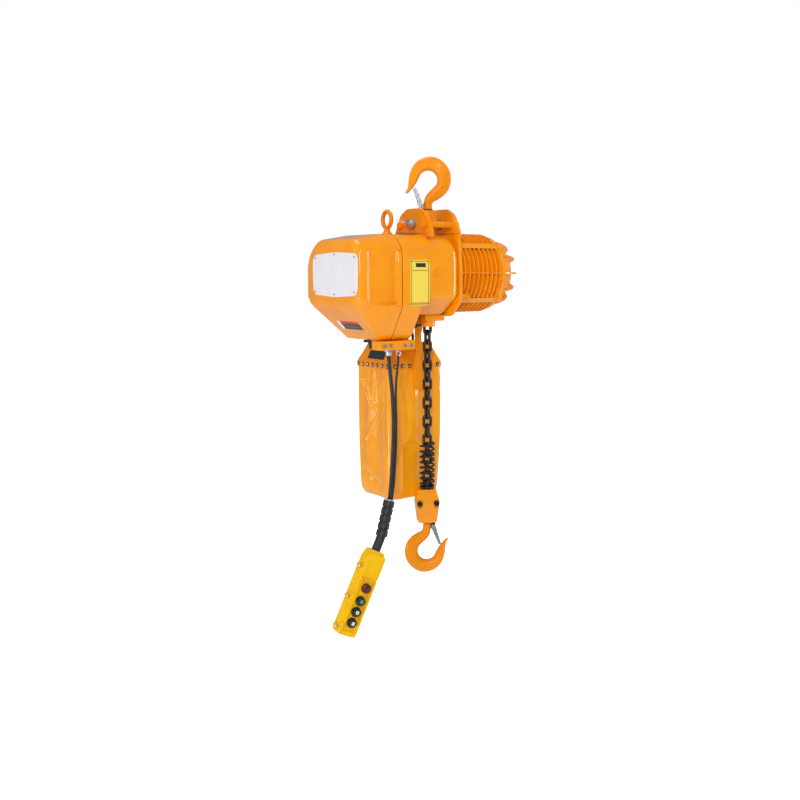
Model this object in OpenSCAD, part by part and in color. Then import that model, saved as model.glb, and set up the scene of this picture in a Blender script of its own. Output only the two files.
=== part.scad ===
// Electric chain hoist, single fall, with pendant control and chain bag.
// Frame: origin at the saddle of the top hook, +Z up, +X from the control box to the motor,
// and the operator's side is -Y. The load line is the Z axis.

/* [Casing] */
// Half of the casing's width, across the motor axis
case_half_w = 156; // [150:1:160]
// Height of the casing's top
case_top = -200; // [-202:1:-198]
// Height of the lower lobe's underside
lobe_bottom = -520; // [-530:1:-516]
// Wall of the cast casing
case_wall = 6; // [4:1:7]
// Left end face of the control cover
cover_end_x = -325; // [-335:1:-318]

/* [Motor] */
// Height of the motor and sheave axis
axis_z = -316; // [-318:1:-314]
// Radius over the cooling fins
fin_r = 127; // [122:1:130]
// Number of cooling fins
fin_count = 9; // [7:1:10]
// Number of ribs on the end cap
cap_ribs = 12; // [8:2:14]

/* [Load chain] */
// Pitch of the chain, the inner length of a link
pitch = 30; // [30]
// Wire of the chain
wire = 9.8; // [9:0.1:9.9]
// Pockets of the load sheave
pockets = 5; // [5]
// How far the chain turns about its own line from sheave to hook block
chain_twist = -25; // [-35:1:0]

/* [Hooks] */
// Radius of the hook's bowl
bowl_r = 29; // [27:0.5:30]
// Turn of both hooks about the vertical
hook_turn = -33; // [-40:1:-20]

/* [Chain bag] */
// Size of the bag along X
bag_w = 204; // [180:1:206]
// Size of the bag along Y
bag_d = 196; // [180:1:200]
// Height of the bag's rivet line
bag_rim = -610; // [-616:1:-606]
// Height of the bag's bottom
bag_bottom = -1046; // [-1056:1:-1030]

/* [Pendant] */
// Width of the handset
hand_w = 66; // [62:1:70]
// Length of the handset
hand_l = 276; // [270:1:284]
// Depth of the handset
hand_d = 50; // [46:1:54]
// Lean of the handset from the vertical
hand_tilt = 25; // [15:1:26]
// Turn of the handset about the vertical
hand_turn = -6; // [-20:1:0]
// Diameter of the control cable
cable_d = 12; // [10:0.5:13]
// Diameter of the sleeved strain rope
rope_d = 7; // [6:0.5:8]

/* [Hidden] */
$fn = 48;
sheave_r = pockets * 2 * pitch / (2 * PI); // radius at which the chain runs
axis_y = sheave_r;                         // the load fall hangs on the Z axis
mid_y = axis_y;
seam_x = -172;      // joint of control cover and gear case
lobe_x = -96;       // right end of the lower lobe
case_right_x = 46;  // right end of the gear case
plug_x = -44;       // oil plug
plate_in = 47;      // inner face of a cheek plate
plate_t = 10;
pin_z = -165;       // suspension pin
pin_r = 11;
chain_shift = -22;  // where the chain stands against the sheave axis
chain_first = 1;
chain_last = 23;
inner_w = 13.4;     // inner width of a link
block_top = -1007;
block_bottom = -1117;
low_bowl = -1242;   // saddle of the bottom hook
shank_r = 13;
guide_mouth = -484;
gland = [-178, -42, -548];
orange = [1, 0.55, 0.03];
yellow = [0.98, 0.78, 0.02];
black = [0.08, 0.08, 0.09];
steel = [0.72, 0.73, 0.75];

// ---------- helpers ----------

function unit(v) = v / norm(v);

// Points of one rounded corner, from the edge p-c to the edge c-q.
function corner(p, c, q, r, k) =
    let (u = unit(p - c), v = unit(q - c), h = acos(max(-1, min(1, u * v))) / 2,
        m = c + unit(u + v) * r / sin(h), s = c + u * r / tan(h) - m,
        e = c + v * r / tan(h) - m, w = 180 - 2 * h)
    [for (i = [0:k]) m + (s * sin((1 - i / k) * w) + e * sin(i / k * w)) / sin(w)];

// A closed outline with every corner rounded; corners are [x, y, radius].
function rounded(c, k = 5) =
    let (n = len(c), p = [for (a = c) [a[0], a[1]]])
    [for (i = [0:n - 1]) each corner(p[(i + n - 1) % n], p[i], p[(i + 1) % n], c[i][2], k)];

// A solid through rings of equal point counts, each counterclockwise as seen from the last one.
module loft(rings) {
    n = len(rings[0]);
    m = len(rings);
    polyhedron(points = [for (r = rings) each r], convexity = 8,
        faces = concat([[for (i = [0:n - 1]) i]], [[for (i = [n - 1:-1:0]) (m - 1) * n + i]],
            [for (j = [0:m - 2], i = [0:n - 1]) each
                [[j * n + i, (j + 1) * n + i, (j + 1) * n + (i + 1) % n],
                 [j * n + i, (j + 1) * n + (i + 1) % n, j * n + (i + 1) % n]]]));
}

// A round tube along points; ring sides follow a fixed side vector, so it does not twist.
function tangent(p, i) = unit(p[min(i + 1, len(p) - 1)] - p[max(i - 1, 0)]);
function tube_rings(p, radii, sides, side) =
    [for (i = [0:len(p) - 1]) let (t = tangent(p, i), a = unit(side - (side * t) * t), b = cross(t, a))
        [for (k = [0:sides - 1]) p[i] + radii[i] * (cos(k * 360 / sides) * a + sin(k * 360 / sides) * b)]];

// Draws an X-Y profile in the Y-Z plane and gives it a thickness along X from x0 to x1.
module along_x(x0, x1) {
    translate([x0, 0, 0]) rotate([90, 0, 90]) linear_extrude(x1 - x0) children();
}

// A cylinder along X on the motor axis, or at [y, z] beside it.
module rod_x(x0, x1, r, y = mid_y, z = axis_z, fn = 64) {
    translate([x0, y, z]) rotate([0, 90, 0]) cylinder(r = r, h = x1 - x0, $fn = fn);
}

// A hexagonal head along X.
module hex_x(x0, x1, r, y, z) {
    rod_x(x0, x1, r, y, z, 6);
}

// ---------- casing ----------

// Outline in Y-Z of the barrel-shaped case: the lower corners move with the lobe.
function case_outline(low_front, low_z, side_z, inset = 0) =
    let (w = case_half_w - inset, t = case_top - inset, b = low_z + inset)
    rounded([[mid_y - w + 38, t, 40], [mid_y - w, t - 40, 34], [mid_y - w, side_z, 30],
        [mid_y - low_front + inset * 0.7, b, 26], [mid_y + low_front - inset * 0.7, b, 26],
        [mid_y + w, side_z, 30], [mid_y + w, t - 40, 34], [mid_y + w - 38, t, 40]], 5);

barrel_z = axis_z - 130;
module case_body(x0, x1, inset) {
    along_x(x0, x1) polygon(case_outline(88, barrel_z, axis_z - 75, inset));
}
module lobe_body(x0, x1, inset) {
    along_x(x0, x1) polygon(case_outline(94, lobe_bottom, axis_z - 100, inset));
}

// The right shoulder of the case, rounded towards the cheek plate.
module case_shoulder() {
    steps = [[30, 0.3], [24, 0.3], [12, 3], [4, 9], [0, 18]];
    loft([for (s = steps) [for (p = case_outline(88, barrel_z, axis_z - 75, s[1])) [case_right_x - s[0], p[0], p[1]]]]);
}

module gear_case() {
    color(orange) difference() {
        union() {
            case_body(seam_x + 2, case_right_x - 24, 0);
            lobe_body(seam_x + 2, lobe_x, 0);
            case_shoulder();
        }
        case_body(seam_x, case_right_x - 6, case_wall);
        lobe_body(seam_x, lobe_x - case_wall, case_wall);
        // openings for the left cheek plate, the rotor, and the two chain falls
        translate([-plate_in - plate_t - 0.3, -101, case_top - 20]) cube([plate_t + 0.6, 202, 40]);
        rod_x(case_right_x - 10, case_right_x + 1, 60);
        translate([-22, -22, barrel_z - 5]) cube([44, 44, 30]);
        translate([-22, 2 * axis_y - 22, barrel_z - 5]) cube([44, 44, 30]);
        // seats of the oil plug and the eye bolt
        translate([plug_x, mid_y - case_half_w - 1, axis_z]) rotate([-90, 0, 0]) cylinder(r = 9.2, h = 20);
        translate([-122, mid_y, case_top - 20]) cylinder(r = 6.2, h = 40);
    }
}

// Corners of the control cover's section; s runs from 0, full section, to 1 at the end face.
function cover_section(s, inset) =
    let (w = case_half_w - 4 * s - inset, t = case_top - 17 * s - inset,
        b = lobe_bottom + 112 * s + inset, f = 94 + 46 * s - inset * 0.7)
    rounded([[mid_y - w + 38 - 8 * s, t, 34 - 8 * s], [mid_y - w, t - 40 + 12 * s, 30],
        [mid_y - w, axis_z - 100 + 28 * s, 26], [mid_y - f, b, 24 - 4 * s], [mid_y + f, b, 24 - 4 * s],
        [mid_y + w, axis_z - 100 + 28 * s, 26], [mid_y + w, t - 40 - 6 * s, 30],
        [mid_y + w - 38 - 20 * s, t, 34]], 5);
function cover_ring(x, inset = 0) =
    let (s = max(0, min(1, (seam_x - 43 - x) / (seam_x - 43 - cover_end_x))))
    [for (p = cover_section(s, inset)) [x, p[0], p[1]]];

module control_cover() {
    color(orange) difference() {
        loft([cover_ring(cover_end_x, 13), cover_ring(cover_end_x + 2, 7), cover_ring(cover_end_x + 7, 2.5),
            cover_ring(cover_end_x + 15, 0), cover_ring(seam_x - 43), cover_ring(seam_x - 3), cover_ring(seam_x, 2.5)]);
        loft([cover_ring(cover_end_x + 5, 16), cover_ring(cover_end_x + 15, 5), cover_ring(seam_x - 43, 5),
            cover_ring(seam_x + 1, 6)]);
        // shallow side panels
        for (y = [mid_y - case_half_w - 6, mid_y + case_half_w - 5])
            translate([-292, y, -404]) cube([102, 11, 160]);
        // cable entries in the bottom
        translate([-205, mid_y - 40, lobe_bottom - 5]) cylinder(r = 12, h = 20);
    }
}

// Screws of the control cover, as [x, y, z], heads to the side.
cover_screw_at = [for (y = [mid_y - case_half_w - 1.1, mid_y + case_half_w + 1.1], z = [-246, -412]) [-185, y, z]];
plate_y = mid_y - 21;   // centre of the nameplate
plate_z = -320;
module nameplate_outline(dx = 0) {
    polygon(rounded([[-126 + dx, 58 - dx, 22], [0, 66 - dx, 500], [126 - dx, 60 - dx, 20], [129 - dx, 0, 400],
        [124 - dx, -62 + dx, 22], [0, -68 + dx, 500], [-124 + dx, -62 + dx, 24], [-129 + dx, 0, 400]], 5));
}
module nameplate() {
    color(steel) translate([cover_end_x - 2, plate_y, plate_z]) rotate([90, 0, 90])
        linear_extrude(1.9) mirror([1, 0]) nameplate_outline();
}
plate_screw_at = [[-112, 50], [0, 58], [112, 50], [-112, -53], [0, -60], [112, -53]];

cap_flange_x = [246, 264];
boss_angle = 43;
boss_r = 118;
module housing_screws() {
    color(steel) {
        for (p = plate_screw_at)
            rod_x(cover_end_x - 4, cover_end_x - 2, 3.2, plate_y + p[0], plate_z + p[1], 24);
        for (p = cover_screw_at)
            translate(p) rotate([90, 0, 0]) cylinder(r = 4, h = 2, center = true);
        for (a = [boss_angle, 180 - boss_angle, 180 + boss_angle, -boss_angle])
            hex_x(cap_flange_x[1] + 0.5, cap_flange_x[1] + 7.5, 8, mid_y + boss_r * cos(a), axis_z + boss_r * sin(a));
        for (x = [-208, -184, -132, -108])
            translate([x, -63.1, -535]) rotate([90, 0, 0]) cylinder(r = 6, h = 4, $fn = 32);
    }
}

// ---------- electrical parts in the control box ----------

module back_panel() {
    color("silver") along_x(seam_x - 9, seam_x - 6)
        polygon(rounded([[mid_y - 120, -230, 10], [mid_y - 120, -400, 10], [mid_y + 120, -400, 10],
            [mid_y + 120, -230, 10]], 4));
}
module contactors() {
    color(black) for (y = [mid_y - 78, mid_y - 22]) {
        translate([seam_x - 80, y - 22, -345]) cube([70.8, 44, 84]);
        translate([seam_x - 92, y - 16, -325]) cube([12, 32, 44]);
    }
    color("darkseagreen") for (k = [0:7])
        translate([seam_x - 40, mid_y - 96 + k * 13, -385]) cube([30.8, 12, 26]);
}
module transformer() {
    color("saddlebrown") translate([seam_x - 74, mid_y + 30, -350]) cube([64.8, 70, 86]);
    color("dimgray") translate([seam_x - 84, mid_y + 44, -338]) cube([9.9, 42, 62]);
}

// ---------- gear train ----------

pressure = 25;
function inv(a) = tan(a) * 180 / PI - a;
// Involute gear outline; phase turns the first tooth's centre.
function gear_points(m, z, phase, backlash = 0.2) =
    let (rp = m * z / 2, rb = rp * cos(pressure), ra = rp + m, rf = rp - 1.25 * m, rs = max(rb, rf),
        half = 90 / z - backlash / 2 / rp * 180 / PI + inv(pressure), k = 4,
        flank = [for (i = [0:k]) let (r = rs + (ra - rs) * i / k) [r, half - inv(acos(min(1, rb / r)))]],
        low = rb > rf ? [[rf, half]] : [])
    [for (t = [0:z - 1]) let (c = phase + t * 360 / z)
        each concat([for (f = concat(low, flank)) f[0] * [cos(c - f[1]), sin(c - f[1])]],
            [for (i = [k:-1:0]) flank[i][0] * [cos(c + flank[i][1]), sin(c + flank[i][1])]],
            [for (f = low) f[0] * [cos(c + f[1]), sin(c + f[1])]])];

teeth = [12, 54, 13, 49, 12, 45];
m1 = 2;
m3 = 3;
dist_a = m1 * (teeth[0] + teeth[1]) / 2;
dist_ab = m1 * (teeth[2] + teeth[3]) / 2;
dist_b = m3 * (teeth[4] + teeth[5]) / 2;
dir_a = -90;
dir_b = dir_a + acos((dist_a ^ 2 + dist_b ^ 2 - dist_ab ^ 2) / (2 * dist_a * dist_b));
shaft_a = [mid_y, axis_z] + dist_a * [cos(dir_a), sin(dir_a)];
shaft_b = [mid_y, axis_z] + dist_b * [cos(dir_b), sin(dir_b)];
to_b = atan2(shaft_b[1] - shaft_a[1], shaft_b[0] - shaft_a[0]);
to_main = dir_b + 180;

module gear(m, z, phase, x0, x1, at, bore) {
    translate([x0, at[0], at[1]]) rotate([90, 0, 90]) difference() {
        linear_extrude(x1 - x0) polygon(gear_points(m, z, phase));
        translate([0, 0, -1]) cylinder(r = bore, h = x1 - x0 + 2);
    }
}
module motor_shaft() {
    color("silver") union() {
        rod_x(-166, 284, 9);
        gear(m1, teeth[0], dir_a, -152, -136, [mid_y, axis_z], 8);
    }
}
module first_gear_shaft() {
    color("silver") {
        gear(m1, teeth[1], dir_a + 180 + 180 / teeth[1], -151, -137, shaft_a, 8.5);
        rod_x(-167, -111, 8.5, shaft_a[0], shaft_a[1]);
        gear(m1, teeth[2], to_b, -135, -117.5, shaft_a, 8.5);
    }
}
module second_gear_shaft() {
    color("silver") {
        gear(m1, teeth[3], to_b + 180 + 180 / teeth[3], -134, -119, shaft_b, 11);
        rod_x(-136, -59, 11, shaft_b[0], shaft_b[1]);
        gear(m3, teeth[4], to_main, -109, -85, shaft_b, 11);
    }
}
module load_gear() {
    color("silver") gear(m3, teeth[5], to_main + 180 + 180 / teeth[5], -108, -86, [mid_y, axis_z], 21.03);
}
module load_sheave() {
    color("dimgray") difference() {
        union() {
            rod_x(-109, 45, 21);
            for (s = [-1, 1]) rod_x(s * 16 - 10, s * 16 + 10, 41);
            // teeth between the pockets
            for (k = [0:pockets - 1], s = [-1, 1])
                translate([s * 12, mid_y, axis_z])
                    rotate([180 + chain_shift / sheave_r * -180 / PI + k * 360 / pockets, 0, 0])
                        translate([-4, 35, -2.2]) cube([8, 14, 4.4]);
            for (s = [-1, 1]) rod_x(s * 24 - 3, s * 24 + 3, 55);
        }
        rod_x(-110, 46, 11);
    }
}

// Ball bearing as two rings.
module bearing(x0, x1, r, at = [mid_y, axis_z], outer = 8) {
    difference() {
        rod_x(x0, x1, r + outer, at[0], at[1]);
        rod_x(x0 - 1, x1 + 1, r + 0.05, at[0], at[1]);
    }
}
module bearings() {
    color("gainsboro") {
        bearing(-46.5, -37, 21, [mid_y, axis_z], 14);
        bearing(36, 46.8, 21, [mid_y, axis_z], 14);
        bearing(-166, -159, 9, [mid_y, axis_z], 10);
        bearing(-166, -159, 8.5, shaft_a);
        bearing(-116, -111.5, 8.5, shaft_a, 6);
        bearing(-115.8, -111.2, 11, shaft_b, 6);
        bearing(-72, -60, 11, shaft_b);
        bearing(66, 78, 9, [mid_y, axis_z], 14);
        bearing(226, 238, 9, [mid_y, axis_z], 14);
    }
}
module plate_with_seats(x0, x1, inset, seats) {
    difference() {
        along_x(x0, x1) polygon(case_outline(94, lobe_bottom, axis_z - 100, inset));
        for (s = seats) rod_x(x0 - 1, x1 + 1, s[2], s[0], s[1]);
    }
}
module gearbox_end_plate() {
    color("silver") plate_with_seats(-166, -159, case_wall + 0.5,
        [[mid_y, axis_z, 19.1], [shaft_a[0], shaft_a[1], 16.6]]);
}
module gearbox_mid_plate() {
    color("silver") plate_with_seats(-116, -111, case_wall + 0.5,
        [[mid_y, axis_z, 24], [shaft_a[0], shaft_a[1], 14.6], [shaft_b[0], shaft_b[1], 17.1]]);
}
module bearing_wall() {
    color("silver") difference() {
        union() {
            along_x(-46.6, -37) polygon(case_outline(88, barrel_z, axis_z - 75, case_wall + 0.5));
            along_x(-72, -59) translate([shaft_b[0], shaft_b[1]]) circle(r = 26);
        }
        rod_x(-47.5, -36, 35.2);
        rod_x(-73, -58, 19.1, shaft_b[0], shaft_b[1]);
    }
}

// ---------- suspension ----------

module arch_outline() {
    union() {
        polygon(rounded([[-98, -196, 3], [-94, -184, 8], [-68, -136, 34], [-34, -118, 30], [34, -118, 30],
            [68, -136, 34], [94, -184, 8], [98, -196, 3]], 5));
        translate([-97, -206]) square([194, 11]);
    }
}
module cheek_plate_left() {
    color(orange) difference() {
        along_x(-plate_in - plate_t, -plate_in) union() {
            arch_outline();
            translate([-66, -296]) square([132, 91]);
        }
        rod_x(-60, -40, pin_r + 0.05, 0, pin_z);
        for (y = [-62, 62]) rod_x(-60, -40, 8.1, y, pin_z - 3);
        for (y = [-50, 50]) rod_x(-60, -40, 4, y, -138);
        rod_x(-60, -40, 38);
    }
}
module cheek_plate_right() {
    color(orange) difference() {
        along_x(plate_in, plate_in + plate_t) union() {
            arch_outline();
            polygon(rounded([[-94, -200, 6], [-104, -300, 60], [-106, -400, 40], [-60, -452, 40],
                [150, -452, 40], [204, -400, 40], [204, -260, 60], [150, -202, 30], [98, -200, 6]], 5));
        }
        rod_x(40, 60, pin_r + 0.05, 0, pin_z);
        for (y = [-62, 62]) rod_x(40, 60, 8.1, y, pin_z - 3);
        for (y = [-50, 50]) rod_x(40, 60, 4, y, -138);
        for (y = [-82, 180]) rod_x(40, 60, 7.1, y, -388);
        rod_x(40, 60, 30);
    }
}
module spacer_rods() {
    color(orange) {
        for (y = [-62, 62]) {
            rod_x(-plate_in + 0.1, plate_in - 0.1, 10, y, pin_z - 3);
            for (s = [-1, 1]) {
                rod_x(s * 58.5 - 12, s * 58.5 + 12, 8, y, pin_z - 3);
                hex_x(s * 62.2 - 5, s * 62.2 + 5, 12.5, y, pin_z - 3);
            }
        }
        // the lower tie bolts beside the motor flange
        for (y = [-82, 180]) {
            rod_x(plate_in - 0.7, 88, 7, y, -388);
            hex_x(86, 94, 11, y, -388);
        }
    }
}
module suspension_pin() {
    color(steel) {
        difference() {
            union() {
                rod_x(-84, 64, pin_r, 0, pin_z);
                rod_x(58, 66, 17, 0, pin_z);
                hex_x(-72, -60, 19, 0, pin_z);
                rod_x(-60, -57.2, 20, 0, pin_z);
            }
            translate([-78, 0, pin_z]) cylinder(r = 2.2, h = 40, center = true);
        }
        // spacer bushes beside the yoke
        for (x = [-46.8, 22.4]) difference() {
            rod_x(x, x + 24.4, 16, 0, pin_z);
            rod_x(x - 1, x + 26, pin_r + 0.05, 0, pin_z);
        }
        // split pin
        translate([-78, 0, pin_z]) {
            cylinder(r = 1.9, h = 36, center = true, $fn = 24);
            translate([0, 0, 20]) rotate([0, 90, 0]) rotate_extrude($fn = 32) translate([4, 0]) circle(r = 1.6, $fn = 16);
        }
    }
}
module top_yoke() {
    color(orange) difference() {
        union() {
            translate([-22, -19, -150]) cube([44, 38, 27.7]);
            translate([-22, 0, pin_z]) rotate([0, 90, 0]) cylinder(r = 21, h = 44, $fn = 64);
            translate([-22, -19, pin_z]) cube([44, 38, 15.5]);
        }
        translate([0, 0, -160]) cylinder(r = 9.6, h = 60);
        translate([0, 0, -151]) cylinder(r = 15, h = 17.5);
        rod_x(-23, 23, pin_r + 0.06, 0, pin_z);
    }
}

// ---------- hooks ----------

// Section of the hook: thick and round inside, thin outside. a is the section's half width in the
// hook's plane, b its half thickness; s is a point's place around it.
function hook_section(a, b, n = 16) = [for (k = [0:n - 1]) let (t = 360 * k / n)
    [a * cos(t), b * sin(t) * (1 - 0.28 * cos(t))]];

// Centre line of the hook in its own plane, with the bowl's centre at the origin, the shank on
// the line x = 0 above, and the mouth to the right. Each entry is [x, z, direction, a, b].
tip_angle = 62;
function hook_path() = concat(
    [[0, 86, -90, 11.5, 11.5], [0, 79, -90, 13.6, 13.4], [-0.5, 68, -94, 14.2, 13.7],
     [-5, 58, -116, 16, 14.5], [-15, 49, -136, 18.5, 15.5]],
    [for (i = [0:14]) let (t = 137 + i * 15, a = 20.5 + 2.5 * sin(min(180, i * 14)) - max(0, i - 8) * 0.8,
        r = bowl_r + a) [r * cos(t), r * sin(t), t + 90, a, 16 + 1.2 * sin(min(180, i * 16)) - max(0, i - 10) * 1.2]],
    [[49, 7, 76, 12.6, 11], [53.5, 18, 68, 8.8, 9.5], [58, 27.5, 62, 5.6, 7], [61.5, 33.5, 58, 3.8, 5], [64, 37.5, 58, 2, 2.8]]);

function hook_rings() = [for (q = hook_path()) let (n = [cos(q[2] - 90), sin(q[2] - 90)])
    [for (s = hook_section(q[3], q[4])) let (c = [q[0], q[1]] + n * s[0] * ((q[2] >= -90) ? 1 : 1)) [c[0], s[1], c[1]]]];

latch_pivot = [20.5, 82];
// The hook body, in the hook's own frame.
module hook_body() {
    loft(hook_rings());
    translate([0, 0, 76]) cylinder(r = shank_r, h = 16);
    // lug of the latch
    difference() {
        translate([latch_pivot[0], 0, latch_pivot[1]]) rotate([90, 0, 0]) {
            cylinder(r = 6.5, h = 9, center = true, $fn = 32);
            translate([-17, -6, -4.5]) cube([17, 12, 9]);
        }
        translate([latch_pivot[0], 0, latch_pivot[1]]) rotate([90, 0, 0]) cylinder(r = 2.55, h = 12, center = true);
    }
    translate([latch_pivot[0], 0, latch_pivot[1]]) rotate([90, 0, 0]) cylinder(r = 2.5, h = 19, center = true, $fn = 32);
}
// The latch, a folded strip whose cheeks straddle the lug.
latch_l = 63;   // length of the latch beyond its pivot
module latch() {
    difference() {
        translate([latch_pivot[0], 0, latch_pivot[1]]) rotate([0, 72, 0]) {
            for (s = [-1, 1]) translate([0, s * 7 - 1, 0]) rotate([-90, 0, 0]) linear_extrude(2)
                polygon([[-6.5, -6], [10, -8], [latch_l, -5], [latch_l, 2], [10, 7], [-6.5, 6]]);
            translate([9.5, -8, 5.1]) cube([latch_l - 9.5, 16, 1.9]);
        }
        translate([latch_pivot[0], 0, latch_pivot[1]]) rotate([90, 0, 0]) cylinder(r = 2.62, h = 30, center = true);
    }
}
// Places the bottom hook, and the top hook upside down with its mouth to the left.
module place_low() {
    translate([0, 0, low_bowl + bowl_r]) rotate([0, 0, hook_turn]) children();
}
module place_top() {
    translate([0, 0, -bowl_r]) rotate([0, 0, hook_turn]) rotate([0, 180, 0]) children();
}
module bottom_hook() {
    color(orange) place_low() hook_body();
    color(orange) {
        translate([0, 0, block_bottom - 6]) cylinder(r = 10, h = 52);
    }
    color(steel) translate([0, 0, block_bottom + 25]) difference() {
        cylinder(r = 17, h = 15, $fn = 6);
        translate([0, 0, -1]) cylinder(r = 10, h = 17);
    }
}
module bottom_latch() {
    color(steel) place_low() latch();
}
module top_hook() {
    color(orange) {
        place_top() hook_body();
        translate([0, 0, -152]) cylinder(r = 9.4, h = 36);
    }
    color(steel) translate([0, 0, -150]) difference() {
        cylinder(r = 14, h = 12, $fn = 6);
        translate([0, 0, -1]) cylinder(r = 9.4, h = 14);
    }
}
module top_latch() {
    color(steel) place_top() latch();
}

// ---------- eye bolt and plug ----------

ring_z = -152;   // centre of the eye bolt's ring
module eye_bolt() {
    color(orange) translate([-122, mid_y, 0]) rotate([0, 0, -3]) {
        translate([0, 0, ring_z]) rotate([0, 90, 0]) rotate_extrude($fn = 64) translate([25, 0]) circle(r = 6.5, $fn = 32);
        translate([0, 0, -194]) cylinder(r1 = 15, r2 = 8, h = 16);
        translate([0, 0, case_top + 0.1]) cylinder(r = 17, h = 6);
        translate([0, 0, case_top - 14]) cylinder(r = 6, h = 20);
    }
}
module oil_plug() {
    color(orange) translate([plug_x, mid_y - case_half_w - 3, axis_z]) rotate([-90, 0, 0]) {
        cylinder(r = 12, h = 2.9);
        cylinder(r = 9, h = 8);
    }
}

// ---------- motor ----------

// A profile turned about the motor axis; profile points are [along X, radius].
module turned_x(p, fn = 96) {
    translate([0, mid_y, axis_z]) rotate([0, 90, 0]) rotate_extrude($fn = fn)
        polygon([for (q = p) [q[1], q[0]]]);
}
fin_from = 92;
fin_step = (236 - fin_from) / (fin_count - 1);
core_r = 106;
function fin_profile() = concat([[57.3, 100], [57.3, 112], [66, 116], [74, 122], [84, 122], [84, core_r]],
    [for (k = [0:fin_count - 1]) let (x = fin_from + k * fin_step) each
        [[x - 3.2, core_r], [x - 1.6, fin_r], [x + 1.6, fin_r], [x + 3.2, core_r]]],
    [[245.9, core_r], [245.9, 100]]);
module motor_housing() {
    color(orange) difference() {
        union() {
            turned_x(fin_profile());
            // bearing shields
            turned_x([[62, 23.1], [78, 23.1], [78, 101], [70, 101], [62, 60]]);
            turned_x([[226, 23.1], [238, 23.1], [238, 101], [230, 101], [226, 60]]);
            for (a = [boss_angle, 180 - boss_angle, 180 + boss_angle, -boss_angle])
                translate([84, mid_y, axis_z]) rotate([a, 0, 0]) translate([0, 101, -11]) cube([161.9, 26, 22]);
        }
        for (a = [boss_angle, 180 - boss_angle, 180 + boss_angle, -boss_angle])
            rod_x(180, 247, 5, mid_y + boss_r * cos(a), axis_z + boss_r * sin(a));
        // room for the lower tie bolts
        for (y = [-82, 180]) rod_x(57, 100, 13, y, -388);
    }
}
module stator() {
    color("dimgray") difference() {
        rod_x(96, 210, 99.8);
        rod_x(95, 211, 61);
    }
    color("peru") for (x = [84, 210.1]) difference() {
        rod_x(x, x + 11.9, 90);
        rod_x(x - 1, x + 13, 64);
    }
}
module rotor_core() {
    color("silver") difference() {
        rod_x(98, 208, 60);
        rod_x(97, 209, 9);
    }
}
module brake_disc() {
    color("dimgray") difference() {
        rod_x(252, 260, 62);
        rod_x(251, 261, 9);
    }
}
module brake_coil() {
    color("goldenrod") difference() {
        rod_x(262, 286, 66);
        rod_x(261, 287, 20);
    }
}
module end_cap() {
    color(orange) difference() {
        union() {
            turned_x([[cap_flange_x[0] + 0.1, 80], [cap_flange_x[0] + 0.1, 121], [cap_flange_x[1] - 3, 121],
                [cap_flange_x[1], 118], [cap_flange_x[1] + 0.4, 107], [288, 106], [312, 88], [320, 60], [322, 18], [336, 16], [336, 0.01], [312, 0.01], [310, 70], [286, 92], [268, 100], [262, 80]]);
            for (a = [boss_angle, 180 - boss_angle, 180 + boss_angle, -boss_angle])
                rod_x(cap_flange_x[0] + 0.1, cap_flange_x[1], 14, mid_y + boss_r * cos(a), axis_z + boss_r * sin(a), 48);
            for (k = [0:cap_ribs - 1])
                translate([0, mid_y, axis_z]) rotate([k * 360 / cap_ribs, 0, 0]) rotate([90, 0, 0])
                    translate([0, 0, -3]) linear_extrude(6) polygon([[262, 104], [262, 119], [290, 113],
                        [322, 101], [333, 90], [330, 76], [326, 40], [326, 10], [314, 10], [314, 66], [290, 92]]);
            rod_x(335, 345, 4);
        }
        for (a = [boss_angle, 180 - boss_angle, 180 + boss_angle, -boss_angle])
            rod_x(240, 270, 5, mid_y + boss_r * cos(a), axis_z + boss_r * sin(a));
    }
}

// ---------- chain ----------

// One link, long axis on Z, in the X-Z plane, centred.
module link(d = wire) {
    c = (inner_w + d) / 2;
    e = pitch / 2 - inner_w / 2 + 0.05;
    for (s = [-1, 1]) {
        translate([s * c, 0, 0]) cylinder(r = d / 2, h = 2 * e, center = true, $fn = 24);
        translate([0, 0, s * e]) rotate([0, s < 0 ? 180 : 0, 0]) rotate([90, 0, 0])
            rotate_extrude(angle = 180, $fn = 32) translate([c, 0]) circle(r = d / 2, $fn = 24);
    }
}
module load_chain() {
    color(black) for (i = [chain_first:chain_last])
        translate([0, 0, axis_z + chain_shift - i * pitch])
            rotate([0, 0, (i % 2 == 0 ? 90 : 0) + chain_twist * (i - chain_first) / (chain_last - chain_first)]) link();
}
// Slack fall and the chain lying in the bag as a coil.
pile_r = 62;
pile_step = 28.25;
pile_links = 44;
pile_rise = 27;   // height of one turn of the pile
module slack_chain() {
    color(black) {
        for (i = [1:15]) translate([0, 2 * axis_y, axis_z - 30 - i * pitch]) rotate([0, 0, i % 2 * 90]) link();
        step = 2 * asin(pile_step / 2 / pile_r);
        slope = atan(pile_rise / (2 * PI * pile_r));
        for (i = [0:pile_links - 1])
            translate([bag_mid[0], bag_mid[1], bag_bottom + 24 + i * step / 360 * pile_rise])
                rotate([0, 0, i * step]) translate([pile_r * cos(step / 2), 0, 0])
                    rotate([slope - 90, 0, 0]) rotate([0, 0, i % 2 * 90 + 45]) link(9.2);
    }
}
module limit_spring() {
    turns = 9;
    top = -858;
    low = block_top + 4;
    n = turns * 16;
    p = [for (i = [0:n]) [21 * cos(i * 22.5), 21 * sin(i * 22.5), low + (top - low) * i / n]];
    color(black) loft(tube_rings(p, [for (i = p) 2.3], 6, [0, 0, 1]));
}

// ---------- hook block ----------

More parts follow.
